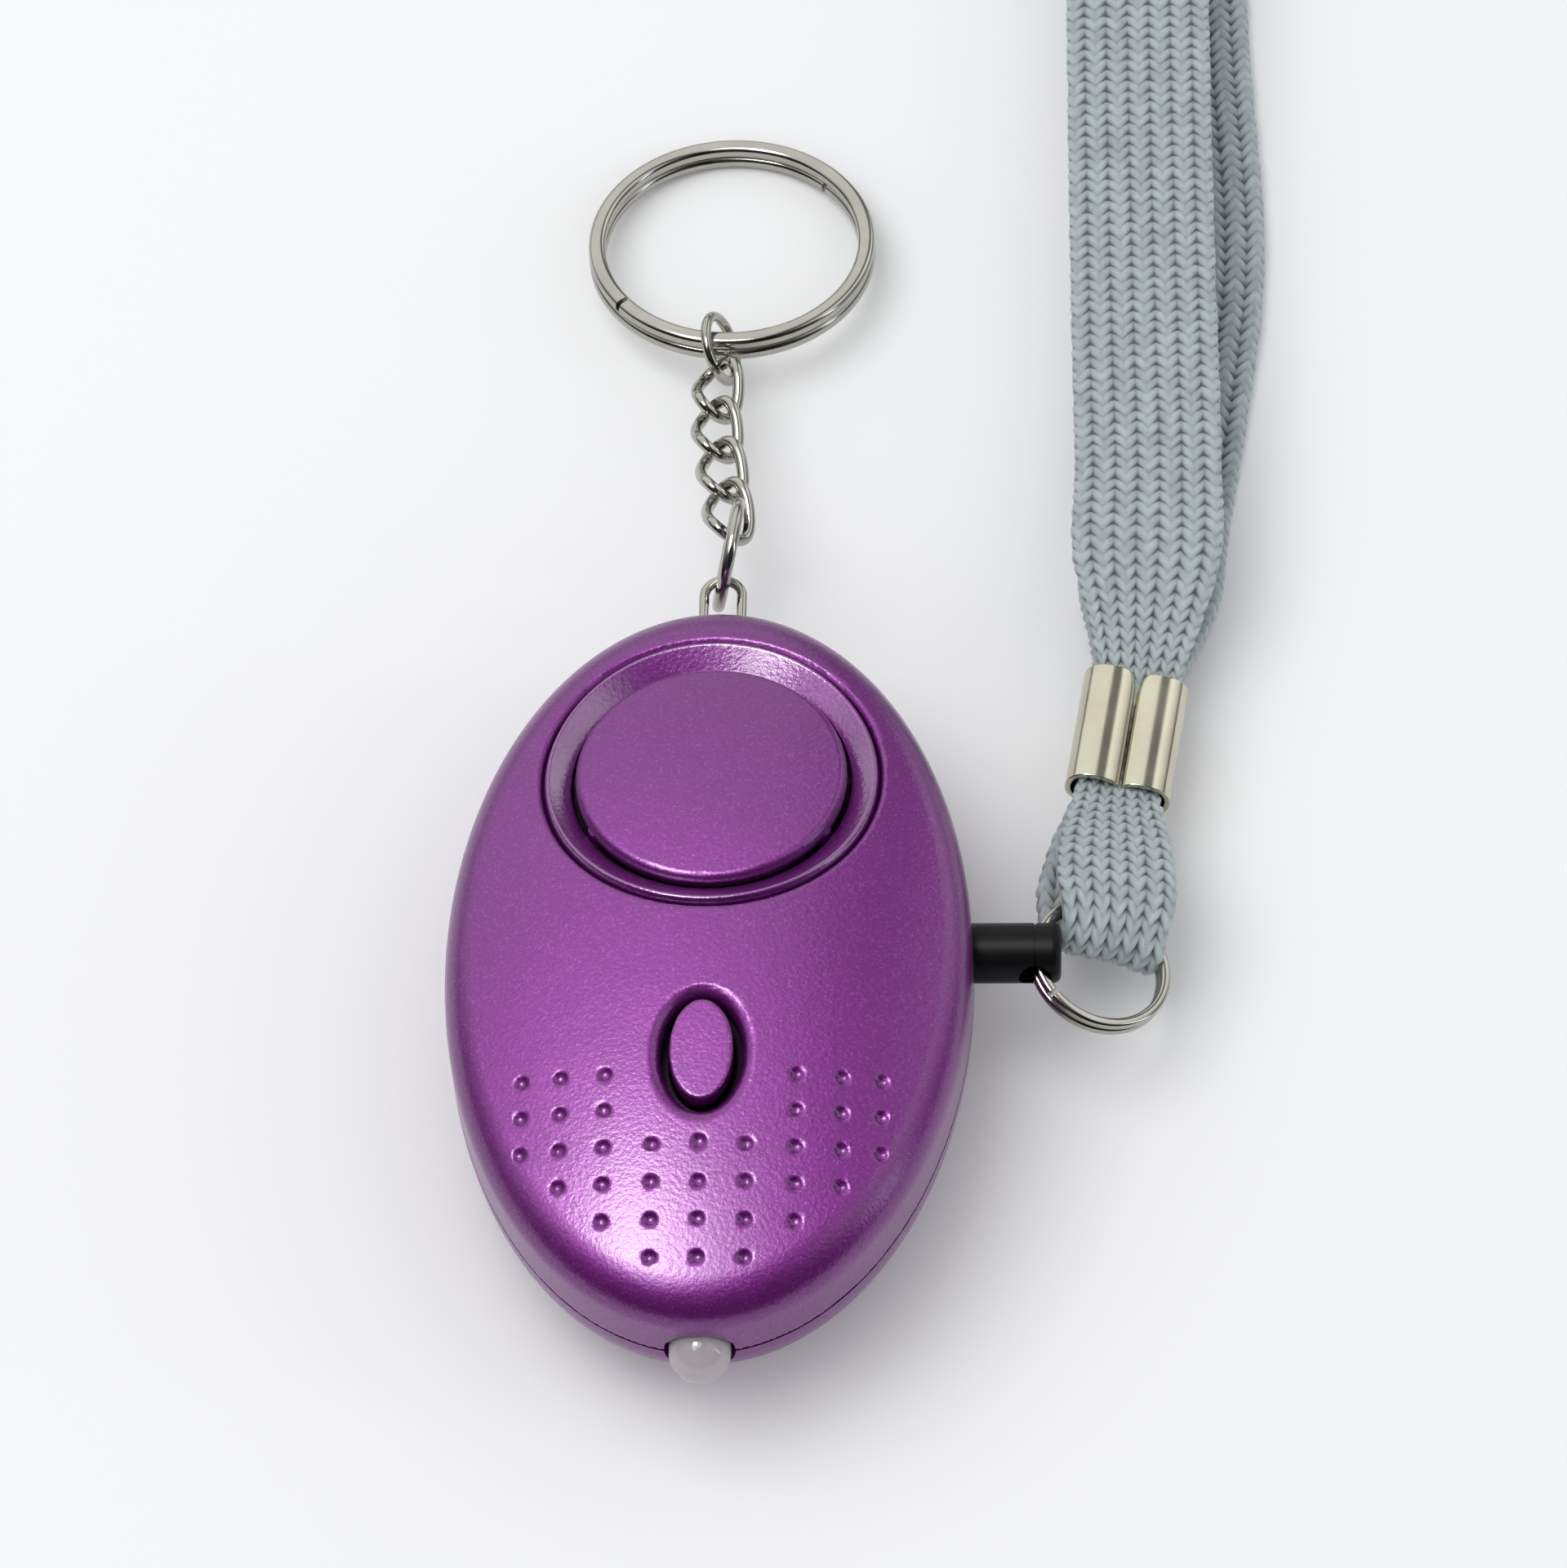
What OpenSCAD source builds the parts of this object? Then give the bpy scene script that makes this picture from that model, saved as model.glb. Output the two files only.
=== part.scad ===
// Personal safety alarm: egg-shaped siren with a lamp, a key chain, a pull pin and a wrist strap.
// The rear cover lies on the table at z = 0, the lamp points to -Y, the key chain to +Y, the pull pin to +X.

/* [Body] */
// Width across the egg
body_w = 43; // [41:0.5:48]
// Length along the egg
body_l = 68; // [66:0.5:74]
// Height of the crown above the table
body_t = 20.25; // [20:0.25:23]
// Height of the parting line above the table
part_z = 10; // [9.75:0.25:10.5]
// Shell wall thickness
wall = 1.6; // [1.4:0.1:1.8]
// Radius of the domed top
dome_r = 58; // [54:1:66]
// Radius of the upper shoulder
shoulder_r = 3.5; // [3.25:0.25:4.5]
// Radius of the domed rear
rear_dome_r = 48; // [47:1:60]
// Radius of the rear shoulder
rear_shoulder_r = 7.5; // [6.5:0.25:7.75]

/* [Siren] */
// Distance of the siren from the middle of the egg
siren_y = 15.7; // [15.4:0.1:16]
// Diameter of the siren cap
cap_d = 22.3; // [21.6:0.1:22.6]
// Distance from the cap's edge to the hole in the shell
bezel_w = 2.8; // [2.6:0.05:3]
// Height of the bezel's crest above the dome
bezel_proud = 0.25; // [0.15:0.05:0.4]
// Depth of the bezel's outer foot below the dome
bezel_sunk = 0.35; // [0.2:0.05:0.5]
// Width of the sound slot beside the cap
slot_gap = 0.4; // [0.3:0.05:0.5]
// Height of the cap's crown above the dome
cap_proud = 0.05; // [0:0.05:0.3]

/* [Lamp and button] */
// Distance of the lamp button from the middle of the egg
button_y = -11.6; // [-12.2:0.1:-11]
// Button width
button_w = 4.6; // [4.3:0.1:5]
// Button length
button_l = 8.5; // [7.8:0.1:9]
// Gap round the button
button_gap = 1.25; // [0.8:0.05:1.4]
// Press of the button
button_travel = 0.5; // [0.3:0.05:0.6]
// Lamp bulb diameter
lamp_d = 5; // [4.8:0.1:5.2]
// Reach of the bulb past the body
lamp_out = 2.4; // [1.5:0.1:3]

/* [Grip dots] */
// Dot diameter at the surface
dot_d = 1.25; // [0.9:0.05:1.5]
// Dot depth
dot_depth = 0.38; // [0.2:0.02:0.5]
// Dot row pitch
dot_dy = 3.13; // [2.95:0.01:3.15]

/* [Pull pin] */
// Distance of the pin from the middle of the egg
pin_y = 3.3; // [3.1:0.1:3.5]
// Diameter of the pin's head
pin_d = 4.95; // [4.6:0.05:5.2]
// Reach of the pin past the body
pin_out = 7.2; // [6.5:0.1:8.5]
// Outside diameter of the strap ring
strap_ring_d = 12; // [11.5:0.1:13]
// Wire of the strap ring
strap_ring_wire = 0.75; // [0.6:0.05:0.8]
// Droop of the strap ring
strap_ring_tilt = 22; // [20:1:24]

/* [Key chain] */
// Inside width of the bail
bail_gap = 2.35; // [2.2:0.05:2.8]
// Bail wire
bail_wire = 0.85; // [0.7:0.05:0.9]
// Outside diameter of the body jump ring
jump_d = 10; // [9.6:0.1:10.6]
// Jump ring wire
jump_wire = 1.1; // [0.9:0.05:1.2]
// Outside width of a curb link
link_w = 4.65; // [4.4:0.05:5]
// Outside length of a curb link
link_l = 7.35; // [7:0.05:7.8]
// Curb link wire
link_wire = 1.05; // [0.9:0.05:1.1]
// Outside diameter of the key jump ring
key_jump_d = 6.7; // [6.5:0.1:7.4]
// Key jump ring wire
key_jump_wire = 0.9; // [0.7:0.05:1]
// Outside diameter of the key ring
key_ring_d = 25; // [22:0.5:32]
// Radial thickness of the key ring wire
key_ring_wire = 1.3; // [1.1:0.05:1.4]
// Height of one turn of the key ring
key_ring_turn = 1.15; // [1:0.05:1.2]

/* [Strap] */
// Strap width
strap_w = 13; // [11:0.25:13.5]
// Strap thickness
strap_t = 1.8; // [1.4:0.1:2]
// Length of the wrist loop past the crimp
strap_loop = 146; // [130:1:170]
// Width of the crimp
crimp_w = 9; // [8.6:0.1:9.4]
// Length of the crimp
crimp_l = 11.25; // [10:0.25:12.5]

/* [Fits] */
// Gap between fixed neighbours
fit = 0.05; // [0.03:0.01:0.08]
// Gap of a sliding or turning fit
run = 0.05; // [0.03:0.01:0.08]
// Gap between linked wires
link_gap = 0.15; // [0.1:0.01:0.2]
// Visible seam between the shells
seam = 0.2; // [0.1:0.05:0.3]

/* [Hidden] */
$fn = 48;
half_w = body_w / 2;
half_l = body_l / 2;
stretch = body_l / body_w;
eps = 0.01;
lap = 0.4;

// Upper shell profile
up_rt = (half_w - shoulder_r) * dome_r / (dome_r - shoulder_r);
up_zs = body_t - dome_r + sqrt(pow(dome_r - shoulder_r, 2) - pow(half_w - shoulder_r, 2));

// Rear cover profile, dipped so that the table cuts a flat rest face
rear_dip = 0.6;
re_rt = (half_w - rear_shoulder_r) * rear_dome_r / (rear_dome_r - rear_shoulder_r);
re_zs = rear_dome_r - rear_dip - sqrt(pow(rear_dome_r - rear_shoulder_r, 2) - pow(half_w - rear_shoulder_r, 2));

// Seam tongue
tongue_w = 0.7;
tongue_h = 1.2;

// Siren frame on the dome
siren_r = siren_y / stretch;
siren_z = body_t - dome_r + sqrt(pow(dome_r, 2) - pow(siren_r, 2));
siren_tilt = atan(siren_r / sqrt(pow(dome_r, 2) - pow(siren_r, 2)) / stretch);
rim_d = cap_d + 2 * bezel_w;
bore_r = cap_d / 2 + slot_gap;
chamber_r = rim_d / 2 + 1.3;
chamber_d = 4.8;
bezel_r = rim_d / 2 - 0.15;
crest_r = bezel_r - 0.9;
bevel_drop = 1.2;
ledge = -2.7;
shelf_top = -2.9;
shelf_t = 1;
shelf_r = cap_d / 2 - 1.9;
cap_dome_r = 70;
cap_edge_r = 0.75;
cap_bottom = -1.95;
peg_at = (shelf_r + bore_r) / 2;
peg_r = 0.9;
spigot_r = 0.55;
gasket_t = 0.3;
piezo_r = rim_d / 2 - 0.45;
piezo_t = 0.25;
ceramic_r = piezo_r - 4;
ceramic_t = 0.25;

// Button, switch and board
board_top = part_z - 2.4;
board_t = 1;
board_clear = 0.5;
board_near = -half_l + 8.5;
board_far = 5.4;
button_r = abs(button_y) / stretch;
button_top = body_t - dome_r + sqrt(pow(dome_r, 2) - pow(button_r, 2));
button_proud = 0.2;
button_under = button_top - wall - 0.65;
flange_t = 1;
flange_w = button_w / 2 + button_gap + 0.8;
flange_l = button_l / 2 + button_gap + 0.8;
collar_t = 0.9;
switch_side = 6;
switch_h = 3.5;
plunger_r = 1.7;
plunger_top = button_under - flange_t - 1.4;
plunger_low = board_top + 2.2;
stem_r = 1.5;

// Case and board screws
case_x = 12;
case_y = -15.3;
boss_r = 2.4;
boss_low = 5;
screw_r = 1;
head_r = 2;
head_t = 1.2;
head_seat = 4;
board_screw_at = [[-12, -2], [11.5, -5.5]];
post_r = 2;

// Cells
cell_d = 11.6;
cell_h = 5.4;
cell_y = 12;
cell_z = wall + 0.3 + cell_d / 2;
cell_x0 = -10.6;
cell_gap = 0.02;
contact_t = 0.4;
contact_w = 8;
contact_h = 8;
contact_lip = 0.7;
plus_x = cell_x0 - contact_t - cell_gap;
cells_end = cell_x0 + 3 * (cell_h + cell_gap);
minus_x = cells_end + 3.1;
spring_wire = 0.5;
spring_turns = 3.5;
cradle_t = 1.2;

// Lamp
lamp_z = part_z;
lamp_tip = -half_l - lamp_out;
lamp_back = -half_l + 7;
lamp_flange_r = lamp_d / 2 + 0.4;
lead_side = 0.5;
lead_x = 1.27;

// Pull pin
pin_z = part_z;
pin_face = half_w * sqrt(1 - pow(pin_y / half_l, 2));
pin_end = pin_face + pin_out;
pin_seat = pin_face - 0.7;
stem_pin_r = 1.75;
guide_in = pin_face - 5;
guide_out = pin_face - 2.4;
probe_root_r = 1.5;
probe_slope = 0.1;
probe_len = 8;
probe_in = guide_in - 0.1;
probe_tip = probe_in - probe_len;
ring_mid_r = (strap_ring_d - strap_ring_wire) / 2;
hole_x = pin_end - 2.1;
hole_r = 1.35;
leaf_root_x = probe_tip - 1.9;
leaf_tip_x = probe_in - 0.9;
leaf_t = 0.3;
leaf_gap = 0.06;
leaf_face = pin_y - probe_root_r + probe_slope * (probe_in - leaf_root_x) - leaf_gap;
leaf_angle = -atan(probe_slope);
leaf_low = pin_z - 1.5;
leaf_top = pin_z + 1.4;
tip_top = pin_z + 3.1;
finger_y = pin_y + 0.2;

// Bail
bail_r = bail_wire / 2;
bail_c = (bail_gap + bail_wire) / 2;
bail_y = half_l + 4.8;
bail_foot_y = half_l - wall - bail_r - 0.75;
bail_foot_x = 3.6;
bail_bend = 0.7;
bail_bar = [0, bail_y + bail_c, part_z];

// Chain: heading and fall of each piece as it lies
jump_r = (jump_d - jump_wire) / 2;
jump_yaw = -5;
jump_fall = -14;
jump_roll = 10;
jump_slack = 1;
link_a = (link_w - link_wire) / 2;
link_b = (link_l - link_wire) / 2;
link_h = 0.95;
link_pitch = 2 * link_b - link_wire - link_gap;
link_fall = -11;
link_yaw = [8, 8, 6, -2];
key_jump_r = (key_jump_d - key_jump_wire) / 2;
key_jump_roll = -24;
function heading(yaw, fall) = [-sin(yaw) * cos(fall), cos(yaw) * cos(fall), sin(fall)];
jump_c = bail_bar + heading(jump_yaw, jump_fall) * (jump_r - jump_wire / 2 - bail_r - link_gap);
link_p0 = jump_c + heading(jump_yaw, jump_fall) * (jump_r - jump_wire / 2 - link_wire / 2 - link_gap - jump_slack);
link_p1 = link_p0 + heading(link_yaw[0], link_fall) * link_pitch;
link_p2 = link_p1 + heading(link_yaw[1], link_fall) * link_pitch;
link_p3 = link_p2 + heading(link_yaw[2], link_fall) * link_pitch;
link_p4 = link_p3 + heading(link_yaw[3], link_fall) * link_b * 2;
link_p = [link_p0, link_p1, link_p2, link_p3, link_p4];
key_jump_near = link_wire / 2 + key_jump_wire / 2 + link_gap;
key_jump_c = link_p4 + [0, key_jump_r - key_jump_near, 0];
key_mid_r = (key_ring_d - key_ring_wire) / 2;
key_room = sqrt(pow(key_jump_r - key_jump_wire / 2 - link_gap, 2) - pow(key_ring_turn, 2));
key_near = key_jump_c + [0, key_room - key_ring_wire / 2 - 1, 0];
key_yaw = -2.9;
key_far_z = key_ring_turn + 0.15;
key_tilt = -asin((key_near[2] - key_far_z) / (2 * key_mid_r));
key_c = key_near + heading(key_yaw, key_tilt) * key_mid_r;

// Strap ring and crimp
ring_c = [hole_x + ring_mid_r * cos(strap_ring_tilt), pin_y, pin_z - ring_mid_r * sin(strap_ring_tilt)];
fold_x = hole_x + 6.25;
fold_y = pin_y + 3.1;
fold_z = pin_z - 6.25 * tan(strap_ring_tilt);
fold_r = 2.35;
crimp_yaw = -8.3;
crimp_roll = 10;
crimp_c = [fold_x + 1.25, fold_y + 20.25, 6.2];
crimp_t = 4.5;
grip_t = 1.3;
grip_w = crimp_w - 1.4;
layer = grip_t / 2 + 0.08;

// Strap route: x, y, z, width, thickness, roll; hand-placed round values about the ring, the crimp and the table
strap_low = strap_t / 2 + 0.1;
strap_high = 8.2;
loop_end = crimp_c[1] + crimp_l / 2 + strap_loop;
turn_r = (strap_high - strap_low) / 2;
function roll_up(a) = [sin(a), 0, cos(a)];
function lift(x, y, z, a, d) = [x, y, z] + roll_up(a) * d;
ring_w = 7.1;
ring_t = 1.6;
grip_run = crimp_l / 2 + 0.6;
grip_in = crimp_c - heading(crimp_yaw, 0) * grip_run;
grip_out = crimp_c + heading(crimp_yaw, 0) * grip_run;
function arc_pts(n, a0, a1) = [for (i = [0 : n]) a0 + (a1 - a0) * i / n];
strap_fold = [for (a = arc_pts(8, 90, 270))
    [[fold_x, fold_y, fold_z] + roll_up(strap_ring_tilt) * fold_r * sin(a) + [0, fold_r * cos(a), 0],
     ring_w, ring_t, strap_ring_tilt]];
strap_up = [
    [lift(fold_x + 0.2, fold_y + 4.5, fold_z - 0.1, 18, -fold_r), 9.6, 1.6, 18],
    [lift(fold_x + 0.3, fold_y + 7.5, fold_z - 0.4, 14, -1.75), 9.4, 1.6, 14],
    [grip_in + roll_up(crimp_roll) * -layer, grip_w, grip_t, crimp_roll],
    [grip_out + roll_up(crimp_roll) * -layer, grip_w, grip_t, crimp_roll]];
strap_down = [
    [grip_out + roll_up(crimp_roll) * layer, grip_w, grip_t, crimp_roll],
    [grip_in + roll_up(crimp_roll) * layer, grip_w, grip_t, crimp_roll],
    [lift(fold_x + 0.3, fold_y + 7.5, fold_z - 0.4, 14, 1.75), 9.4, 1.6, 14],
    [lift(fold_x + 0.2, fold_y + 4.5, fold_z - 0.1, 18, fold_r), 9.6, 1.6, 18],
    [lift(fold_x + 0.1, fold_y + 1.8, fold_z, 21, fold_r), 8.4, 1.6, 21]];
under_x = crimp_c[0] + 5.8;
strap_back = [
    [[grip_out[0] + 0.5, grip_out[1] + 5, 3.1], 9.5, 1.7, 6],
    [[grip_out[0] + 1, grip_out[1] + 11, 1.6], strap_w - 0.6, strap_t, 2],
    [[grip_out[0] + 1.6, grip_out[1] + 19, strap_low], strap_w, strap_t, 0],
    [[under_x - 1.7, grip_out[1] + 30, strap_low], strap_w, strap_t, 0],
    [[under_x, grip_out[1] + 46, strap_low], strap_w, strap_t, 0],
    [[under_x - 1, loop_end - 75, strap_low], strap_w, strap_t, 0],
    [[under_x - 1.8, loop_end - 45, strap_low], strap_w, strap_t, 0],
    [[under_x - 2.4, loop_end - 20, strap_low], strap_w, strap_t, 0]];
over_x = crimp_c[0] + 1.2;
strap_turn = [for (a = arc_pts(8, -90, 90))
    [[(under_x - 2.8) * (90 - a) / 180 + (over_x - 0.4) * (90 + a) / 180,
      loop_end - turn_r - strap_t / 2 + turn_r * cos(a),
      strap_low + turn_r + turn_r * sin(a)], strap_w, strap_t, 0]];
strap_over = [
    [[over_x - 0.3, loop_end - 20, strap_high], strap_w, strap_t, 0],
    [[over_x - 0.2, loop_end - 45, strap_high], strap_w, strap_t, 0],
    [[over_x - 0.1, loop_end - 75, strap_high], strap_w, strap_t, 0],
    [[over_x + 0.2, grip_out[1] + 46, strap_high], strap_w, strap_t, 0],
    [[over_x + 0.5, grip_out[1] + 30, strap_high + 0.2], strap_w, strap_t, 0],
    [[over_x + 0.7, grip_out[1] + 19, strap_high + 0.4], strap_w, strap_t, 2],
    [[over_x + 0.5, grip_out[1] + 11, strap_high + 0.2], strap_w, strap_t, 4],
    [[grip_out[0] + 0.5, grip_out[1] + 5, 7.3], 10, 1.7, 8]];
strap_route = concat(strap_fold, strap_up, strap_back, strap_turn, strap_over, strap_down);

// Colours of the finishes
purple = [0.46, 0.22, 0.5];
nickel = [0.72, 0.71, 0.67];
black = [0.04, 0.045, 0.05];
grey = [0.55, 0.6, 0.61];
board_green = [0.1, 0.33, 0.2];
brass = [0.8, 0.65, 0.3];

// Egg shells

module upper_profile(o, low) {
    cut_r = up_rt - o * (up_rt - half_w + shoulder_r) / shoulder_r;
    union() {
        intersection() {
            translate([0, body_t - dome_r]) circle(r = dome_r - o, $fn = 180);
            translate([0, low]) square([cut_r, body_t]);
        }
        intersection() {
            translate([half_w - shoulder_r, up_zs]) circle(r = shoulder_r - o, $fn = 96);
            translate([cut_r - lap, up_zs - lap]) square([half_w, body_t]);
        }
        translate([cut_r - lap, low]) square([half_w - o - cut_r + lap, up_zs - low]);
    }
}

// A turned profile stretched to the egg's oval, made in quarter turns
module egg_turn(o) {
    union() {
        for (q = [0 : 3])
            scale([1, (half_l - o) / (half_w - o), 1])
                rotate(q * 90) rotate_extrude(angle = 90, $fn = 96) children();
    }
}

module upper_solid(o, low) {
    egg_turn(o) upper_profile(o, low);
}

module rear_profile(o, floor_z, high) {
    cut_r = re_rt - o * (re_rt - half_w + rear_shoulder_r) / rear_shoulder_r;
    union() {
        intersection() {
            translate([0, rear_dome_r - rear_dip]) circle(r = rear_dome_r - o, $fn = 180);
            translate([0, floor_z]) square([cut_r, high - floor_z]);
        }
        intersection() {
            translate([half_w - rear_shoulder_r, re_zs]) circle(r = rear_shoulder_r - o, $fn = 96);
            translate([cut_r - lap, floor_z]) square([half_w, re_zs + lap - floor_z]);
        }
        translate([cut_r - lap, re_zs]) square([half_w - o - cut_r + lap, high - re_zs]);
    }
}

module rear_solid(o, floor_z, high) {
    egg_turn(o) rear_profile(o, floor_z, high);
}

module oval_post(a, b, z0, z1) {
    translate([0, 0, z0]) scale([1, b / a, 1]) cylinder(r = a, h = z1 - z0, $fn = 96);
}

module siren_frame() {
    translate([0, siren_y, siren_z]) rotate([-siren_tilt, 0, 0]) children();
}

// Surface point and outward normal of the dome at x, y
function dome_rad(x, y) = sqrt(x * x + pow(y / stretch, 2));
function dome_z(r) = r < up_rt ? body_t - dome_r + sqrt(dome_r * dome_r - r * r)
    : up_zs + sqrt(pow(shoulder_r, 2) - pow(r - half_w + shoulder_r, 2));
function dome_fall(r) = r < up_rt ? r / sqrt(dome_r * dome_r - r * r)
    : (r - half_w + shoulder_r) / sqrt(pow(shoulder_r, 2) - pow(r - half_w + shoulder_r, 2));
function dome_dir(x, y, r) = let (n = [dome_fall(r) * x / r, dome_fall(r) * y / (stretch * stretch) / r, 1]) n / norm(n);
dot_sphere = (dot_d * dot_d / 4 + dot_depth * dot_depth) / (2 * dot_depth);

module grip_dot(x, y) {
    r = dome_rad(x, y);
    translate([x, y, dome_z(r)] + dome_dir(x, y, r) * (dot_sphere - dot_depth))
        sphere(r = dot_sphere, $fn = 32);
}

// Columns of dots: distance from the middle, first row, last row
dot_cols = [[14.46, 0, 2], [11.29, 0, 3], [7.7, 0, 4], [3.78, 2, 5]];
dot_first = -13.55;

module grip_dots() {
    for (c = dot_cols)
        for (row = [c[1] : c[2]])
            for (side = [-1, 1])
                grip_dot(side * c[0], dot_first - row * dot_dy);
    for (row = [2 : 5])
        grip_dot(0, dot_first - row * dot_dy);
}

// Openings that both shells share at the parting line
module rim_openings() {
    translate([guide_out, pin_y, pin_z]) rotate([0, 90, 0])
        cylinder(r = stem_pin_r + 0.2, h = 6, $fn = 64);
    translate([pin_seat - 0.1, pin_y, pin_z]) rotate([0, 90, 0])
        cylinder(r = pin_d / 2 + 0.1, h = 6, $fn = 64);
    translate([0, -half_l - 2, lamp_z]) rotate([-90, 0, 0])
        cylinder(r = lamp_d / 2 + 0.35, h = 6, $fn = 64);
    for (side = [-1, 1])
        translate([side * bail_c, half_l - 4, part_z]) rotate([-90, 0, 0])
            cylinder(r = bail_r + 0.1, h = 6, $fn = 32);
}

module button_oval(o) {
    scale([1, (button_l / 2 + o) / (button_w / 2 + o)]) circle(r = button_w / 2 + o, $fn = 72);
}

module upper_shell() {
    color(purple) difference() {
        union() {
            difference() {
                union() {
                    difference() {
                        upper_solid(0, part_z + seam / 2);
                        upper_solid(wall, part_z - 1);
                    }
                    intersection() {
                        upper_solid(wall / 2, part_z + seam / 2);
                        union() {
                            siren_frame() translate([0, 0, -chamber_d]) cylinder(r = chamber_r, h = chamber_d + 4, $fn = 96);
                            oval_collar();
                            for (side = [-1, 1])
                                translate([side * case_x, case_y, boss_low + 5]) cylinder(r = boss_r, h = 20);
                        }
                    }
                    for (side = [-1, 1])
                        translate([side * case_x, case_y, boss_low]) cylinder(r = boss_r, h = 5.5);
                }
                siren_frame() translate([0, 0, ledge]) cylinder(r = rim_d / 2, h = 9, $fn = 96);
                siren_frame() translate([0, 0, -12]) cylinder(r = bore_r, h = 20, $fn = 96);
                translate([0, button_y, button_under]) linear_extrude(height = 10) button_oval(button_gap);
                translate([0, button_y, button_under - 4]) linear_extrude(height = 4.3)
                    scale([1, (flange_l + 0.12) / (flange_w + 0.12)]) circle(r = flange_w + 0.12, $fn = 72);
                for (side = [-1, 1])
                    translate([side * case_x, case_y, boss_low - 1]) cylinder(r = screw_r + run, h = 9);
                grip_dots();
            }
            siren_frame() difference() {
                translate([0, 0, shelf_top - shelf_t]) cylinder(r = bore_r + 0.3, h = shelf_t, $fn = 96);
                translate([0, 0, shelf_top - 2]) cylinder(r = shelf_r, h = 4, $fn = 96);
                cap_spigots(spigot_r + fit);
            }
        }
        rim_openings();
        difference() {
            oval_post(half_w - wall + tongue_w + 0.1, half_l - wall + tongue_w + 0.1, part_z - 1, part_z + tongue_h + 0.1);
            oval_post(half_w - wall - lap, half_l - wall - lap, part_z - 2, part_z + tongue_h + 1);
        }
    }
}

module oval_collar() {
    translate([0, button_y, button_under - 2.2]) linear_extrude(height = 12)
        scale([1, (flange_l + collar_t) / (flange_w + collar_t)]) circle(r = flange_w + collar_t, $fn = 72);
}

module cap_spigots(r) {
    for (a = [90, 210, 330])
        rotate(a) translate([peg_at, 0, shelf_top - 2]) cylinder(r = r, h = 3, $fn = 24);
}

module rear_cover() {
    color(purple) difference() {
        union() {
            difference() {
                rear_solid(0, 0, part_z - seam / 2);
                rear_solid(wall, wall, part_z + 1);
            }
            difference() {
                oval_post(half_w - wall + tongue_w, half_l - wall + tongue_w, part_z - 1.2, part_z + tongue_h);
                oval_post(half_w - wall, half_l - wall, part_z - 2, part_z + tongue_h + 1);
            }
            intersection() {
                rear_solid(wall / 2, 0.5, part_z - seam / 2);
                rear_ribs();
            }
        }
        for (side = [-1, 1]) translate([side * case_x, case_y, 0]) {
            translate([0, 0, -1]) cylinder(r = head_r + 0.15, h = head_seat + 1);
            cylinder(r = screw_r + 0.15, h = 10);
        }
        for (p = board_screw_at)
            translate([p[0], p[1], 2.2]) cylinder(r = 0.8 + run, h = 10, $fn = 32);
        translate([cell_x0 - 0.1, cell_y, cell_z]) rotate([0, 90, 0])
            cylinder(r = cell_d / 2 + 0.1, h = cells_end - cell_x0 + 0.2, $fn = 96);
        rim_openings();
    }
}

module rear_ribs() {
    for (side = [-1, 1])
        translate([side * case_x, case_y, 0]) cylinder(r = head_r + 1.2, h = boss_low - fit);
    for (p = board_screw_at)
        translate([p[0], p[1], 0]) cylinder(r = post_r, h = board_top - board_t - fit);
    for (x = [cell_x0 + 3, cells_end - 3])
        difference() {
            translate([x - cradle_t / 2, cell_y - 5.4, 0]) cube([cradle_t, 10.8, cell_z - 2]);
            translate([x - 1, cell_y, cell_z]) rotate([0, 90, 0]) cylinder(r = cell_d / 2 + fit, h = 2, $fn = 96);
        }
    difference() {
        for (x = [plus_x - contact_lip, minus_x - fit])
            translate([x, cell_y - 2.5, 0]) cube([contact_t + contact_lip, 5, cell_z - contact_h / 2 + 1]);
        for (x = [plus_x, minus_x])
            translate([x - fit, cell_y - 5, cell_z - contact_h / 2 - fit]) cube([contact_t + 2 * fit, 10, 3]);
    }
    translate([-3, -half_l + 4, 0]) difference() {
        cube([6, 1.2, part_z - 0.5]);
        translate([3, -1, lamp_z]) rotate([-90, 0, 0]) cylinder(r = lamp_d / 2 + fit, h = 4, $fn = 64);
    }
    for (side = [-1, 1])
        translate([side * 2.6 - 0.9, bail_foot_y - bail_r - 1.3, 0]) cube([1.8, 1.2, part_z - 0.2]);
}

// Siren

// Height of the dome above the siren's own plane
function dome_level(x, v) = let (y = siren_y + v * cos(siren_tilt))
    (dome_z(dome_rad(x, y)) - siren_z + v * sin(siren_tilt)) * cos(siren_tilt);

// Bezel section: radius and height above the dome, with a softened crest
bezel_sec = [[bezel_r, -bezel_sunk], [crest_r + 0.2, bezel_proud - 0.13], [crest_r + 0.08, bezel_proud - 0.03],
             [crest_r - 0.04, bezel_proud - 0.03], [crest_r - 0.16, bezel_proud - 0.12], [bore_r, -bevel_drop]];
bezel_steps = 96;

module siren_bezel() {
    rings = [for (j = [0 : bezel_steps - 1]) let (a = 360 * j / bezel_steps, c = cos(a), s = sin(a)) concat(
        [for (q = bezel_sec) [q[0] * c, q[0] * s, dome_level(q[0] * c, q[0] * s) + q[1]]],
        [[bore_r * c, bore_r * s, ledge + fit], [bezel_r * c, bezel_r * s, ledge + fit]])];
    color(purple) siren_frame() loft(rings, true);
}

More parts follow.
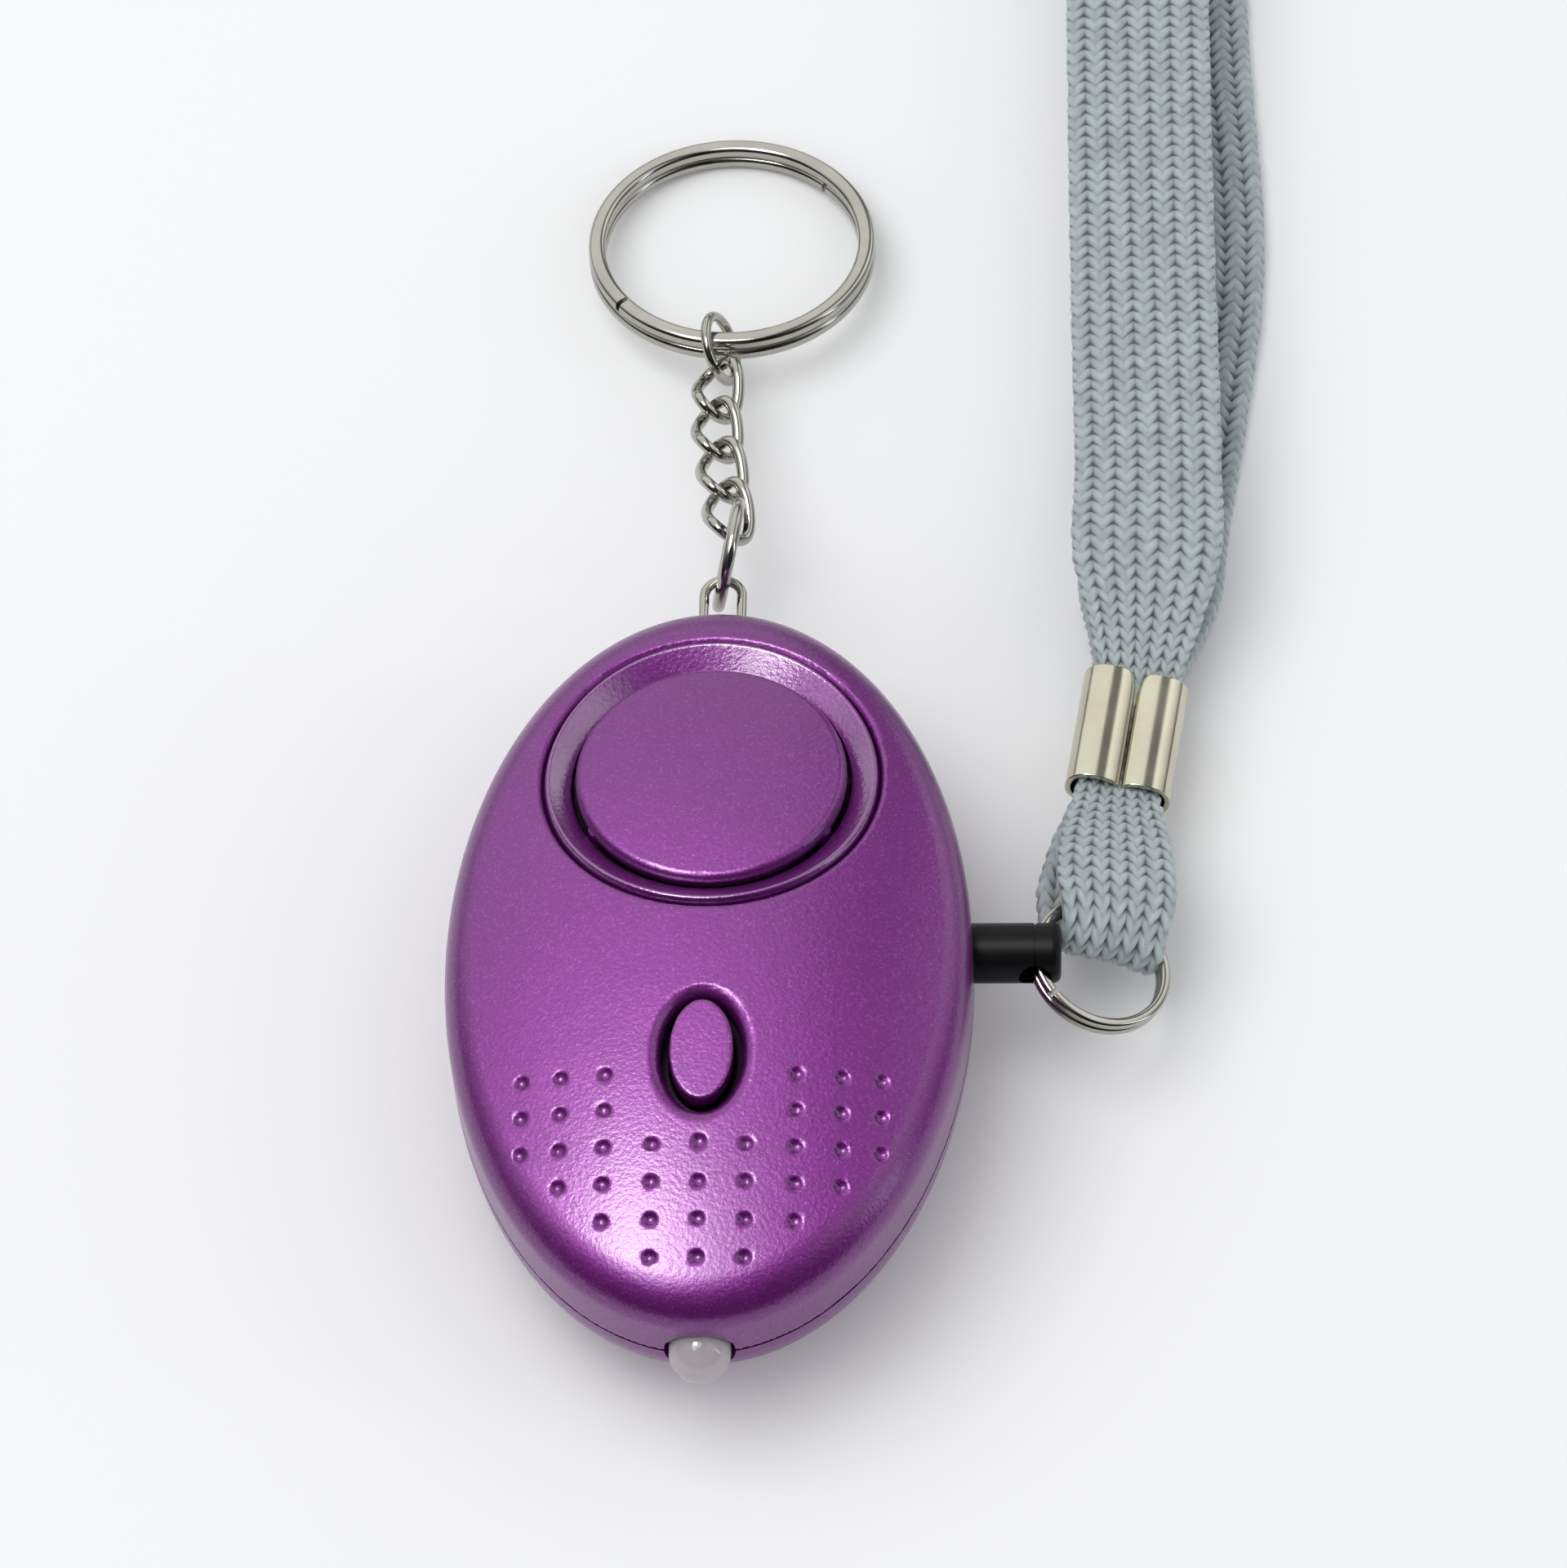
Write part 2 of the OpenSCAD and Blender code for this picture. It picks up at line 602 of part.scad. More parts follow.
module cap_profile() {
    top = cap_proud;
    r = cap_d / 2;
    edge_c = [r - cap_edge_r, top - cap_dome_r + sqrt(pow(cap_dome_r - cap_edge_r, 2) - pow(r - cap_edge_r, 2))];
    cut = edge_c[0] * cap_dome_r / (cap_dome_r - cap_edge_r);
    union() {
        intersection() {
            translate([0, top - cap_dome_r]) circle(r = cap_dome_r, $fn = 180);
            translate([0, cap_bottom]) square([cut, top - cap_bottom + 1]);
        }
        intersection() {
            translate(edge_c) circle(r = cap_edge_r, $fn = 48);
            translate([cut - 0.1, edge_c[1] - 0.1]) square([2, 2]);
        }
        translate([cut - 0.1, cap_bottom]) square([r - cut + 0.1, edge_c[1] - cap_bottom]);
    }
}

module siren_cap() {
    color(purple) siren_frame() union() {
        rotate_extrude($fn = 96) cap_profile();
        for (a = [90, 210, 330]) rotate(a) {
            translate([peg_at, 0, shelf_top]) cylinder(r = peg_r, h = cap_bottom - shelf_top + 0.2, $fn = 24);
            translate([peg_at, 0, shelf_top - shelf_t]) cylinder(r = spigot_r, h = shelf_t + 0.2, $fn = 24);
        }
    }
}

module piezo_gasket() {
    color(black) siren_frame() translate([0, 0, -chamber_d - gasket_t]) difference() {
        cylinder(r = piezo_r, h = gasket_t, $fn = 96);
        translate([0, 0, -1]) cylinder(r = bore_r, h = 3, $fn = 96);
    }
}

module piezo_plate() {
    color(brass) siren_frame() translate([0, 0, -chamber_d - gasket_t - piezo_t]) cylinder(r = piezo_r, h = piezo_t, $fn = 96);
}

module piezo_ceramic() {
    color([0.85, 0.83, 0.75]) siren_frame() translate([0, 0, -chamber_d - gasket_t - piezo_t - ceramic_t])
        cylinder(r = ceramic_r, h = ceramic_t, $fn = 96);
}

// Button, switch and board

module light_button() {
    color(purple) union() {
        intersection() {
            translate([0, button_y, button_under - flange_t]) linear_extrude(height = 12) button_oval(0);
            translate([0, 0, button_proud]) upper_solid(0, part_z);
        }
        translate([0, button_y, button_under - flange_t]) linear_extrude(height = flange_t - 0.1)
            scale([1, flange_l / flange_w]) circle(r = flange_w, $fn = 72);
        translate([0, button_y, plunger_top + run]) cylinder(r = stem_r, h = button_under - flange_t - plunger_top + 0.3, $fn = 32);
    }
}

module switch_plunger() {
    color(black) translate([0, button_y, plunger_low]) cylinder(r = plunger_r, h = plunger_top - plunger_low, $fn = 32);
}

module switch_base() {
    color(nickel) translate([0, button_y, board_top]) difference() {
        translate([-switch_side / 2, -switch_side / 2, 0]) cube([switch_side, switch_side, switch_h]);
        translate([0, 0, plunger_low - board_top - button_travel - 0.2]) cylinder(r = plunger_r + run, h = 10, $fn = 32);
    }
}

module board_outline() {
    inner_w = half_w - rear_shoulder_r + sqrt(pow(rear_shoulder_r - wall, 2) - pow(re_zs - board_top + board_t, 2));
    a = inner_w - board_clear;
    intersection() {
        scale([1, (half_l - wall) / (half_w - wall)]) circle(r = a, $fn = 120);
        union() {
            translate([-half_w, board_near]) square([body_w, board_far - board_near]);
            translate([minus_x + 1, board_near]) square([pin_face - 4.2 - minus_x, 9 - board_near]);
        }
    }
}

module circuit_board() {
    color(board_green) translate([0, 0, board_top - board_t]) difference() {
        linear_extrude(height = board_t) board_outline();
        for (side = [-1, 1])
            translate([side * case_x, case_y, -1]) cylinder(r = boss_r + 0.3, h = 4);
        for (p = board_screw_at)
            translate([p[0], p[1], -1]) cylinder(r = 0.95, h = 4, $fn = 32);
    }
}

module siren_chip() {
    color(black) translate([-7, -5, board_top]) intersection() {
        translate([0, 0, -4.5]) sphere(r = 6, $fn = 48);
        cylinder(r = 4.2, h = 4, $fn = 48);
    }
}

module boost_coil() {
    color([0.2, 0.2, 0.21]) translate([5.5, 14 - half_l, board_top]) rotate_extrude($fn = 48) union() {
        square([3, 1]);
        square([2.4, 6]);
        translate([0, 5]) square([3, 1]);
    }
}

module drive_transistor() {
    color(black) translate([-5.5, -20.5, board_top]) union() {
        translate([-2.3, -1.2, 2.2]) cube([4.6, 2.4, 4.6]);
        for (x = [-1.27, 0, 1.27])
            translate([x - 0.2, -0.2, 0]) cube([0.4, 0.4, 2.4]);
    }
}

module board_screws() {
    color(nickel) for (p = board_screw_at) translate([p[0], p[1], 0]) difference() {
        union() {
            translate([0, 0, 2.6]) cylinder(r = 0.8, h = board_top - 2.6 + 0.3, $fn = 32);
            translate([0, 0, board_top + fit]) cylinder(r = 1.6, h = 0.9, $fn = 32);
        }
        translate([-1.1, -0.2, board_top + 0.55]) cube([2.2, 0.4, 2]);
        translate([-0.2, -1.1, board_top + 0.55]) cube([0.4, 2.2, 2]);
    }
}

module case_screws() {
    color(nickel) for (side = [-1, 1]) translate([side * case_x, case_y, 0]) difference() {
        union() {
            translate([0, 0, head_seat - head_t - fit]) cylinder(r = head_r, h = head_t, $fn = 32);
            translate([0, 0, head_seat - 0.5]) cylinder(r = screw_r, h = 7.5, $fn = 32);
        }
        translate([-1.3, -0.25, head_seat - head_t - 1.35]) cube([2.6, 0.5, 2]);
        translate([-0.25, -1.3, head_seat - head_t - 1.35]) cube([0.5, 2.6, 2]);
    }
}

// Lamp

module lamp_bulb() {
    color([0.86, 0.85, 0.88, 0.6]) translate([0, lamp_back, lamp_z]) rotate([90, 0, 0]) union() {
        cylinder(r = lamp_flange_r, h = 1, $fn = 64);
        cylinder(r = lamp_d / 2, h = lamp_back - lamp_tip - lamp_d / 2, $fn = 64);
        translate([0, 0, lamp_back - lamp_tip - lamp_d / 2]) intersection() {
            sphere(r = lamp_d / 2, $fn = 64);
            translate([0, 0, -0.01]) cylinder(r = lamp_d, h = lamp_d, $fn = 64);
        }
    }
}

module lamp_leads() {
    color(nickel) for (side = [-1, 1]) translate([side * lead_x - lead_side / 2, 0, 0]) union() {
        translate([0, lamp_back + 0.02, lamp_z - lead_side / 2]) cube([lead_side, board_near - lamp_back + 0.9, lead_side]);
        translate([0, board_near + 0.4, board_top]) cube([lead_side, lead_side, lamp_z - board_top]);
    }
}

// Cells and contacts

module button_cell(i) {
    x = cell_x0 + i * (cell_h + cell_gap);
    color(nickel) translate([x, cell_y, cell_z]) rotate([0, 90, 0]) union() {
        cylinder(r = cell_d / 2, h = cell_h - 0.6, $fn = 96);
        cylinder(r = cell_d / 2 - 1.1, h = cell_h, $fn = 96);
    }
}

module contact_plate(x, reach) {
    union() {
        translate([x, cell_y - contact_w / 2, cell_z - contact_h / 2]) cube([contact_t, contact_w, contact_h]);
        translate([x, board_far - reach, board_top + fit]) cube([contact_t, cell_y - board_far + reach, 1.4]);
    }
}

module battery_plus() {
    color(nickel) contact_plate(plus_x, 2.5);
}

module battery_minus() {
    color(nickel) contact_plate(minus_x, 1.4);
}

function spring_pt(u) = let (a = 360 * spring_turns * u, r = 3.6 - 1.5 * u)
    [cells_end + spring_wire / 2 + 0.02 + (minus_x - cells_end - spring_wire - 0.04) * (1 - u),
     cell_y + r * cos(a), cell_z + r * sin(a)];

module battery_spring() {
    color(nickel) tube([for (i = [0 : 42]) spring_pt(i / 42)], spring_wire / 2, 6, false);
}

// Wires from the board to the siren

module siren_wire(x, y, s) {
    foot = [x, y, board_top + 0.03];
    top_z = siren_z - (chamber_d + gasket_t + piezo_t + s) / cos(siren_tilt) - (y + 4 - siren_y) * tan(siren_tilt) - 0.55;
    tube([foot, foot + [0, 0, 2.2], foot + [0, 0.8, 4.2], [x, y + 2.4, top_z - 0.9], [x, y + 3.4, top_z - 0.1], [x, y + 4.4, top_z - 0.15]],
        0.4, 8, false);
}

module siren_wire_live() {
    color([0.7, 0.05, 0.05]) siren_wire(-2.5, 0.6, ceramic_t);
}

module siren_wire_return() {
    color(black) siren_wire(2.5, 0.6, ceramic_t);
}

// Pull pin and its switch

module pull_pin() {
    r = pin_d / 2;
    edge = 0.7;
    color(black) difference() {
        translate([0, pin_y, pin_z]) rotate([0, 90, 0]) rotate_extrude($fn = 96) union() {
            translate([0, pin_seat]) square([r, pin_end - edge - pin_seat]);
            translate([0, pin_end - edge - eps]) square([r - edge, edge + eps]);
            intersection() {
                translate([r - edge, pin_end - edge]) circle(r = edge, $fn = 48);
                translate([r - edge, pin_end - edge]) square([edge, edge]);
            }
            translate([0, probe_in]) square([stem_pin_r, pin_seat - probe_in + eps]);
            polygon([[0, probe_tip], [probe_root_r - probe_slope * probe_len, probe_tip], [probe_root_r, probe_in + eps],
                     [0, probe_in + eps]]);
        }
        translate([hole_x, pin_y - pin_d, pin_z]) rotate([-90, 0, 0]) cylinder(r = hole_r, h = 2 * pin_d, $fn = 48);
        translate([hole_x - 0.1, pin_y, pin_z]) rotate([0, 90, 0]) difference() {
            cylinder(r = pin_d, h = 0.2, $fn = 96);
            translate([0, 0, -1]) cylinder(r = r - 0.12, h = 3, $fn = 96);
        }
    }
}

module pin_guide() {
    color([0.85, 0.85, 0.82]) difference() {
        translate([guide_in, pin_y - 2.8, board_top]) cube([guide_out - guide_in, 5.6, pin_z + 2.6 - board_top]);
        translate([guide_in - 1, pin_y, pin_z]) rotate([0, 90, 0]) cylinder(r = stem_pin_r + run, h = 6, $fn = 64);
    }
}

module contact_leaf() {
    run_l = leaf_tip_x - leaf_root_x;
    color(brass) translate([leaf_root_x, leaf_face, 0]) rotate(leaf_angle) union() {
        translate([0, -leaf_t, leaf_low]) cube([run_l, leaf_t, leaf_top - leaf_low]);
        translate([run_l - 1.2, -leaf_t, leaf_top - 0.1]) cube([1.2, leaf_t, tip_top - leaf_top + 0.1]);
        translate([0, -leaf_t / 2, leaf_low]) cylinder(r = 0.45, h = leaf_top - leaf_low, $fn = 32);
    }
}

leaf_axis = [leaf_root_x + sin(leaf_angle) * leaf_t / 2, leaf_face - cos(leaf_angle) * leaf_t / 2];

module contact_post() {
    color(brass) difference() {
        translate([leaf_axis[0] - 1.5, leaf_axis[1] - 1, board_top]) cube([1.9, 2, leaf_top - board_top]);
        translate([leaf_axis[0], leaf_axis[1], board_top - 1]) cylinder(r = 0.45 + run, h = 10, $fn = 32);
        translate([leaf_axis[0], leaf_axis[1] - 0.8, board_top - 1]) cube([3, 1.6, 10]);
    }
}

module contact_finger() {
    x0 = leaf_tip_x - 1.2;
    color(brass) union() {
        translate([x0, finger_y + 3.4, board_top]) cube([1.6, 0.4, tip_top - board_top]);
        translate([x0, finger_y, pin_z + 1.9]) cube([1.6, 3.6, tip_top - pin_z - 1.9]);
    }
}

// Strap ring, crimp and strap

module ring_section(mid, wire, turn, r) {
    for (k = [-1, 0]) translate([mid - wire / 2, k * turn]) union() {
        translate([r, 0]) square([wire - 2 * r, turn]);
        translate([0, r]) square([wire, turn - 2 * r]);
        for (i = [r, wire - r]) for (j = [r, turn - r])
            translate([i, j]) circle(r = r, $fn = 24);
    }
}

module split_ring(mid, wire, turn, r, cut_a, cut_b) {
    difference() {
        rotate_extrude($fn = 120) ring_section(mid, wire, turn, r);
        rotate(cut_a) translate([mid - wire, -0.25, 0.04]) cube([2 * wire, 0.5, turn + 1]);
        rotate(cut_b) translate([mid - wire, -0.25, -turn - 1]) cube([2 * wire, 0.5, turn + 0.96]);
    }
}

module strap_ring() {
    color(nickel) translate(ring_c) rotate([0, strap_ring_tilt, 0])
        split_ring(ring_mid_r, strap_ring_wire, strap_ring_wire, strap_ring_wire / 3, 222, 40);
}

module crimp_2d(o) {
    w = crimp_w / 2 - o;
    t = crimp_t / 2 - o;
    r = 1.6 - o;
    union() {
        translate([-w + r, -t]) square([2 * (w - r), 2 * t]);
        translate([-w, -t + r]) square([2 * w, 2 * (t - r)]);
        for (x = [-1, 1]) for (y = [-1, 1])
            translate([x * (w - r), y * (t - r)]) circle(r = r, $fn = 48);
    }
}

module strap_crimp() {
    color(nickel) translate(crimp_c) rotate([0, 0, crimp_yaw]) rotate([0, crimp_roll, 0]) rotate([90, 0, 0])
        difference() {
            translate([0, 0, -crimp_l / 2]) linear_extrude(height = crimp_l) difference() {
                crimp_2d(0);
                crimp_2d(0.55);
                translate([0, crimp_t / 2 + 0.25]) rotate(45) square([0.75, 0.75], center = true);
            }
            translate([0, crimp_t / 2, -crimp_l / 2]) rotate([-90, 0, 0]) cylinder(r = 0.8, h = 2, center = true, $fn = 32);
        }
}

function unit(v) = v / norm(v);

module loft(rings, closed) {
    n = len(rings[0]);
    m = len(rings);
    pts = [for (r = rings) each r];
    side = [for (j = [0 : closed ? m - 1 : m - 2]) for (i = [0 : n - 1])
        let (a = j * n + i, b = j * n + (i + 1) % n, c = ((j + 1) % m) * n + (i + 1) % n, d = ((j + 1) % m) * n + i)
        each [[a, b, c], [a, c, d]]];
    caps = closed ? [] : [[for (i = [n - 1 : -1 : 0]) i], [for (i = [0 : n - 1]) (m - 1) * n + i]];
    polyhedron(points = pts, faces = concat(side, caps), convexity = 8);
}

module tube(p, r, sides, closed) {
    m = len(p);
    rings = [for (j = [0 : m - 1])
        let (t = unit(closed ? p[(j + 1) % m] - p[(j + m - 1) % m] : p[min(j + 1, m - 1)] - p[max(j - 1, 0)]),
             ref = abs(t[0]) < 0.8 ? [1, 0, 0] : [0, 0, 1],
             u = unit(cross(ref, t)), v = cross(t, u))
        [for (i = [0 : sides - 1]) p[j] + r * (u * cos(-360 * i / sides) + v * sin(-360 * i / sides))]];
    loft(rings, closed);
}

// Flat strap section: flat faces with rounded edges
strap_sec = [[1, 0.25], [0.93, 0.8], [0.82, 1], [-0.82, 1], [-0.93, 0.8], [-1, 0.25],
             [-1, -0.25], [-0.93, -0.8], [-0.82, -1], [0.82, -1], [0.93, -0.8], [1, -0.25]];

module wrist_strap() {
    m = len(strap_route);
    rings = [for (j = [0 : m - 1])
        let (q = strap_route[j], t = unit(strap_route[(j + 1) % m][0] - strap_route[(j + m - 1) % m][0]),
             w0 = [cos(q[3]), 0, -sin(q[3])], w = unit(w0 - t * (w0 * t)), up = cross(w, t))
        [for (s = strap_sec) q[0] + w * s[0] * q[1] / 2 + up * s[1] * q[2] / 2]];
    color(grey) loft(rings, true);
}

// Key chain

module bail() {
    color(nickel) translate([0, 0, part_z]) union() {
        translate([0, bail_y, 0]) rotate_extrude(angle = 180, $fn = 72) translate([bail_c, 0]) circle(r = bail_r, $fn = 24);
        for (side = [-1, 1]) {
            translate([side * bail_c, bail_foot_y + bail_bend, 0]) rotate([-90, 0, 0])
                cylinder(r = bail_r, h = bail_y - bail_foot_y - bail_bend, $fn = 24);
            translate([side * (bail_c + bail_bend), bail_foot_y + bail_bend, 0])
                rotate(side > 0 ? 180 : 270) rotate_extrude(angle = 90, $fn = 72)
                    translate([bail_bend, 0]) circle(r = bail_r, $fn = 24);
            translate([side * (bail_c + bail_bend), bail_foot_y, 0]) rotate([0, side * 90, 0])
                cylinder(r = bail_r, h = bail_foot_x - bail_c - bail_bend, $fn = 24);
        }
    }
}

module round_ring(mid, wire) {
    rotate_extrude($fn = 72) translate([mid, 0]) circle(r = wire / 2, $fn = 32);
}

module body_jump_ring() {
    color(nickel) translate(jump_c) rotate([0, 0, jump_yaw]) rotate([jump_fall, 0, 0]) rotate([0, 90 + jump_roll, 0])
        round_ring(jump_r, jump_wire);
}

function bend(v) = sign(v) * pow(abs(v), 0.91);
link_curve = [for (i = [0 : 31]) let (a = 360 * (i + 0.5) / 32) [link_a * bend(cos(a)), link_b * bend(sin(a)), link_h * sin(2 * a)]];

module curb_link(i) {
    color(nickel) translate(link_p[i]) rotate([0, 0, link_yaw[i]]) rotate([link_fall, 0, 0])
        translate([0, link_b, 0]) tube(link_curve, link_wire / 2, 10, true);
}

module key_jump_ring() {
    color(nickel) translate(key_jump_c) rotate([0, 90 + key_jump_roll, 0])
        round_ring(key_jump_r, key_jump_wire);
}

module key_ring() {
    color(nickel) translate(key_c) rotate([0, 0, key_yaw]) rotate([key_tilt, 0, 0])
        split_ring(key_mid_r, key_ring_wire, key_ring_turn, 0.35, 222, 48);
}

upper_shell();
rear_cover();
siren_bezel();
siren_cap();
piezo_gasket();
piezo_plate();
piezo_ceramic();
light_button();
switch_plunger();
switch_base();
circuit_board();
siren_chip();
boost_coil();
drive_transistor();
lamp_bulb();
lamp_leads();
button_cell(0);  // button_cell_1
button_cell(1);  // button_cell_2
button_cell(2);  // button_cell_3
battery_spring();
battery_minus();
battery_plus();
pin_guide();
contact_leaf();
contact_post();
contact_finger();
siren_wire_live();
siren_wire_return();
case_screws();
board_screws();
pull_pin();
strap_ring();
strap_crimp();
wrist_strap();
bail();
body_jump_ring();
curb_link(0);  // curb_link_1
curb_link(1);  // curb_link_2
curb_link(2);  // curb_link_3
curb_link(3);  // curb_link_4
key_jump_ring();
key_ring();
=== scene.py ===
"""Personal safety alarm: the looks of the egg, its chain and its wrist strap.

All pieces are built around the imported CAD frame, in metres.
"""

import math
from collections import namedtuple

import bpy
import numpy as np
from mathutils import Matrix, Vector


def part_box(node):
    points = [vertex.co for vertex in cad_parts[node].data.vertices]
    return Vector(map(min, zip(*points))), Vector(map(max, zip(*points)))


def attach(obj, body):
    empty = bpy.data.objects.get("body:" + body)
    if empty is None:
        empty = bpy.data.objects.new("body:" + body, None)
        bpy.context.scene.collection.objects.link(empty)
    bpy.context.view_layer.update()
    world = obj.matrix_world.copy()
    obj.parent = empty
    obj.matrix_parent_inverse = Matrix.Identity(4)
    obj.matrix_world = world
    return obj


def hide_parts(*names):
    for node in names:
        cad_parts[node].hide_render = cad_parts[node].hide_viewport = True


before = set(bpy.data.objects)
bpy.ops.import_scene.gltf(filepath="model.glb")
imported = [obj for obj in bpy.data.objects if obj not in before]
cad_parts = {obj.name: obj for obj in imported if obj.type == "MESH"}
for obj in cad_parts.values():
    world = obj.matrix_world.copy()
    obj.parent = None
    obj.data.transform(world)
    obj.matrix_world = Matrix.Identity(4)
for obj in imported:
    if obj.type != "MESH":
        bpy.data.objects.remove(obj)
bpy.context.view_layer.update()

bl_info = {
    "name": "Personal safety alarm",
    "version": (1, 0, 0),
    "blender": (4, 5, 0),
    "location": "View3D > Sidebar > Alarm",
    "description": "Builds the finishes, the braid and the studio of an egg-shaped personal alarm",
    "category": "Object",
}

MM = 0.001
TINY = 1e-6
MERGE_DISTANCE = 2e-6
EDGE_ANGLE = 50

# Strap route in millimetres, from the CAD source, with the tab drawn snug round the ring:
# x, y, z, width, thickness, roll in degrees, droop of the right edge
ROUTE = [
    (33.10, 7.700, 9.700, 9.8, 1.9, 19, 0.7), (33.02, 6.850, 9.450, 9.4, 1.9, 20, 0.8),
    (32.88, 6.150, 8.950, 9.2, 1.9, 20, 0.9), (32.70, 5.700, 8.250, 9.2, 1.9, 21, 1.0),
    (32.45, 5.550, 7.450, 9.2, 1.9, 22, 1.0), (32.15, 5.700, 6.650, 9.2, 1.9, 22, 1.0),
    (31.90, 6.150, 5.950, 9.4, 1.9, 22, 0.9), (31.70, 6.900, 5.450, 9.8, 1.9, 21, 0.7),
    (31.55, 7.900, 5.200, 10.2, 1.9, 20, 0.5), (31.40, 10.900, 5.000, 10.6, 1.9, 18, 0.2),
    (31.80, 14.500, 5.150, 9.8, 1.7, 14, 0), (32.973, 20.490, 5.481, 7.6, 1.3, 10, 0),
    (34.770, 32.810, 5.481, 7.6, 1.3, 10, 0), (35.397, 37.810, 3.100, 9.5, 1.7, 6, 0),
    (35.897, 43.810, 1.600, 12.4, 1.8, 2, 0), (36.497, 51.810, 1.000, 13, 1.8, 0, 0),
    (38.098, 62.810, 1.000, 13, 1.8, 0, 0), (39.798, 78.810, 1.000, 13, 1.8, 0, 0),
    (38.798, 103.275, 1.000, 13, 1.8, 0, 0), (37.998, 133.275, 1.000, 13, 1.8, 0, 0),
    (37.398, 158.275, 1.000, 13, 1.8, 0, 0), (36.998, 173.775, 1.000, 13, 1.8, 0, 0),
    (36.723, 175.153, 1.274, 13, 1.8, 0, 0), (36.449, 176.321, 2.054, 13, 1.8, 0, 0),
    (36.174, 177.101, 3.222, 13, 1.8, 0, 0), (35.898, 177.375, 4.600, 13, 1.8, 0, 0),
    (35.623, 177.101, 5.978, 13, 1.8, 0, 0), (35.349, 176.321, 7.146, 13, 1.8, 0, 0),
    (35.073, 175.153, 7.926, 13, 1.8, 0, 0), (34.798, 173.775, 8.200, 13, 1.8, 0, 0),
    (34.898, 158.275, 8.200, 13, 1.8, 0, 0), (34.998, 133.275, 8.200, 13, 1.8, 0, 0),
    (35.098, 103.275, 8.200, 13, 1.8, 0, 0), (35.398, 78.810, 8.200, 13, 1.8, 0, 0),
    (35.698, 62.810, 8.400, 13, 1.8, 0, 0), (35.898, 51.810, 8.600, 13, 1.8, 2, 0),
    (35.698, 43.810, 8.400, 13, 1.8, 4, 0), (35.397, 37.810, 7.300, 10, 1.7, 8, 0),
    (35.024, 32.810, 6.919, 7.6, 1.3, 10, 0), (33.227, 20.490, 6.919, 7.6, 1.3, 10, 0),
    (33.15, 14.500, 8.700, 9.9, 1.8, 13, 0.1), (33.15, 11.000, 9.550, 10.6, 1.9, 16, 0.4),
    (33.15, 9.000, 9.750, 10.4, 1.9, 18, 0.6),
]

# Braid: mesh rows to a strand, cells to a column, and a strand's lean, scatter and profile.
# The number of arms sets the lower face's scatter apart from the upper face's.
ROWS_PER_STRAND = 4
CELLS_PER_COLUMN = 6
STRAND_LEAN = 0.8
STRAND_SCATTER = 0.09
STRAND_SWELL = 0.20
STRAND_RIDGE = (0.0, 0.78, 1.0, 0.86)
LOWER_ARMS = 40
# From the middle of a column to its seam: the strand's body, and how deep it parts from the next
COLUMN_PLACES = (0.0, 0.34, 0.67, 1.0)
COLUMN_BODY = (0.88, 1.0, 0.94, 0.55)
COLUMN_PARTING = (0.36, 0.42, 0.78, 1.3)
# Share of the relief that lies inside the CAD band, and the height that stays on the band
RELIEF_INSET = 0.6
RELIEF_LEVEL = 0.55
TALLEST_STRAND = 1.1
STRAP_CROWN = 0.12
FLOOR_CLEARANCE = 0.02
ROUTE_SAMPLES = 6000
TANGENT_STEP = 0.2
# Painted shade of the braid: tone from the depth of a gap, darkest, to the top of a strand,
# lightest
STRAND_SHADE_TONES = ((0.0, 0.16), (0.30, 0.50), (0.55, 0.92), (0.95, 1.2))

# Crimp: half of its outline from the seam round to the back, places along it, and where it lies
CRIMP_HALF = (
    (0.05, 0.9), (0.06, 1.25), (0.16, 1.62), (0.62, 1.98), (1.5, 2.2), (2.6, 2.2), (3.55, 1.95),
    (4.2, 1.3), (4.5, 0.35), (4.45, -0.7), (4.1, -1.55), (3.3, -2.1), (1.8, -2.24), (0.0, -2.26),
)
CRIMP_STATIONS = (-5.62, -5.5, -5.0, -3.0, 0.0, 3.0, 4.6, 5.1, 5.5, 5.62)
CRIMP_CENTRE = (33.9985, 26.65, 6.2)
CRIMP_HEADING, CRIMP_ROLL = -8.3, 10
# The seam opens over the last stretch of its upper end
SEAM_START, SEAM_STRETCH, SEAM_OPENING = 4.9, 0.72, 0.5

# Egg, siren and button in millimetres and degrees
DOME_R, SHOULDER_R = 58.0, 3.5
DOME_REACH, DEEPEST = 18.0, 9.0
SIREN_Y, SIREN_TILT = 15.7, 6.27
RIM_R = 13.95
CREST_FROM, CREST_TO, CREST_DEPTH, CREST_SHIFT = 12.5, 13.4, 0.5, 0.5
BUTTON_Y = -11.6
HOLE_HALF_X, HOLE_HALF_Y = 3.55, 5.5
HOLE_DRAW, DRAW_FROM, DRAW_OVER = 0.075, 1.7, 0.7
BUTTON_GROW_X, BUTTON_GROW_Y = 1.12, 1.04
BUTTON_PROUD = 0.2
# Lips: steepness at the edge, how far inside an edge they reach, and the least drop
LIP_STEEPNESS = 0.96
HOLE_EDGE, RIM_EDGE, LEAST_DROP = 0.9, -0.4, 0.002
FAR_AWAY = 99.0
SNAP_REACH = 0.05
# The shell's hidden inner wall starts at this depth; the share of all faces that is kept
INNER_DEPTH, INNER_SHARE = 1.2, 0.64

# Split rings: steps round a turn and round the wire, the wire's squareness, how closely the
# turns lie, the gap at an end, and the key ring's pitch from turn to turn
RING_STEPS, WIRE_STEPS = 160, 20
WIRE_ROUNDING = 0.75
TURN_CONTACT = 0.98
END_GAP = 0.22
KEY_TURN = 1.27
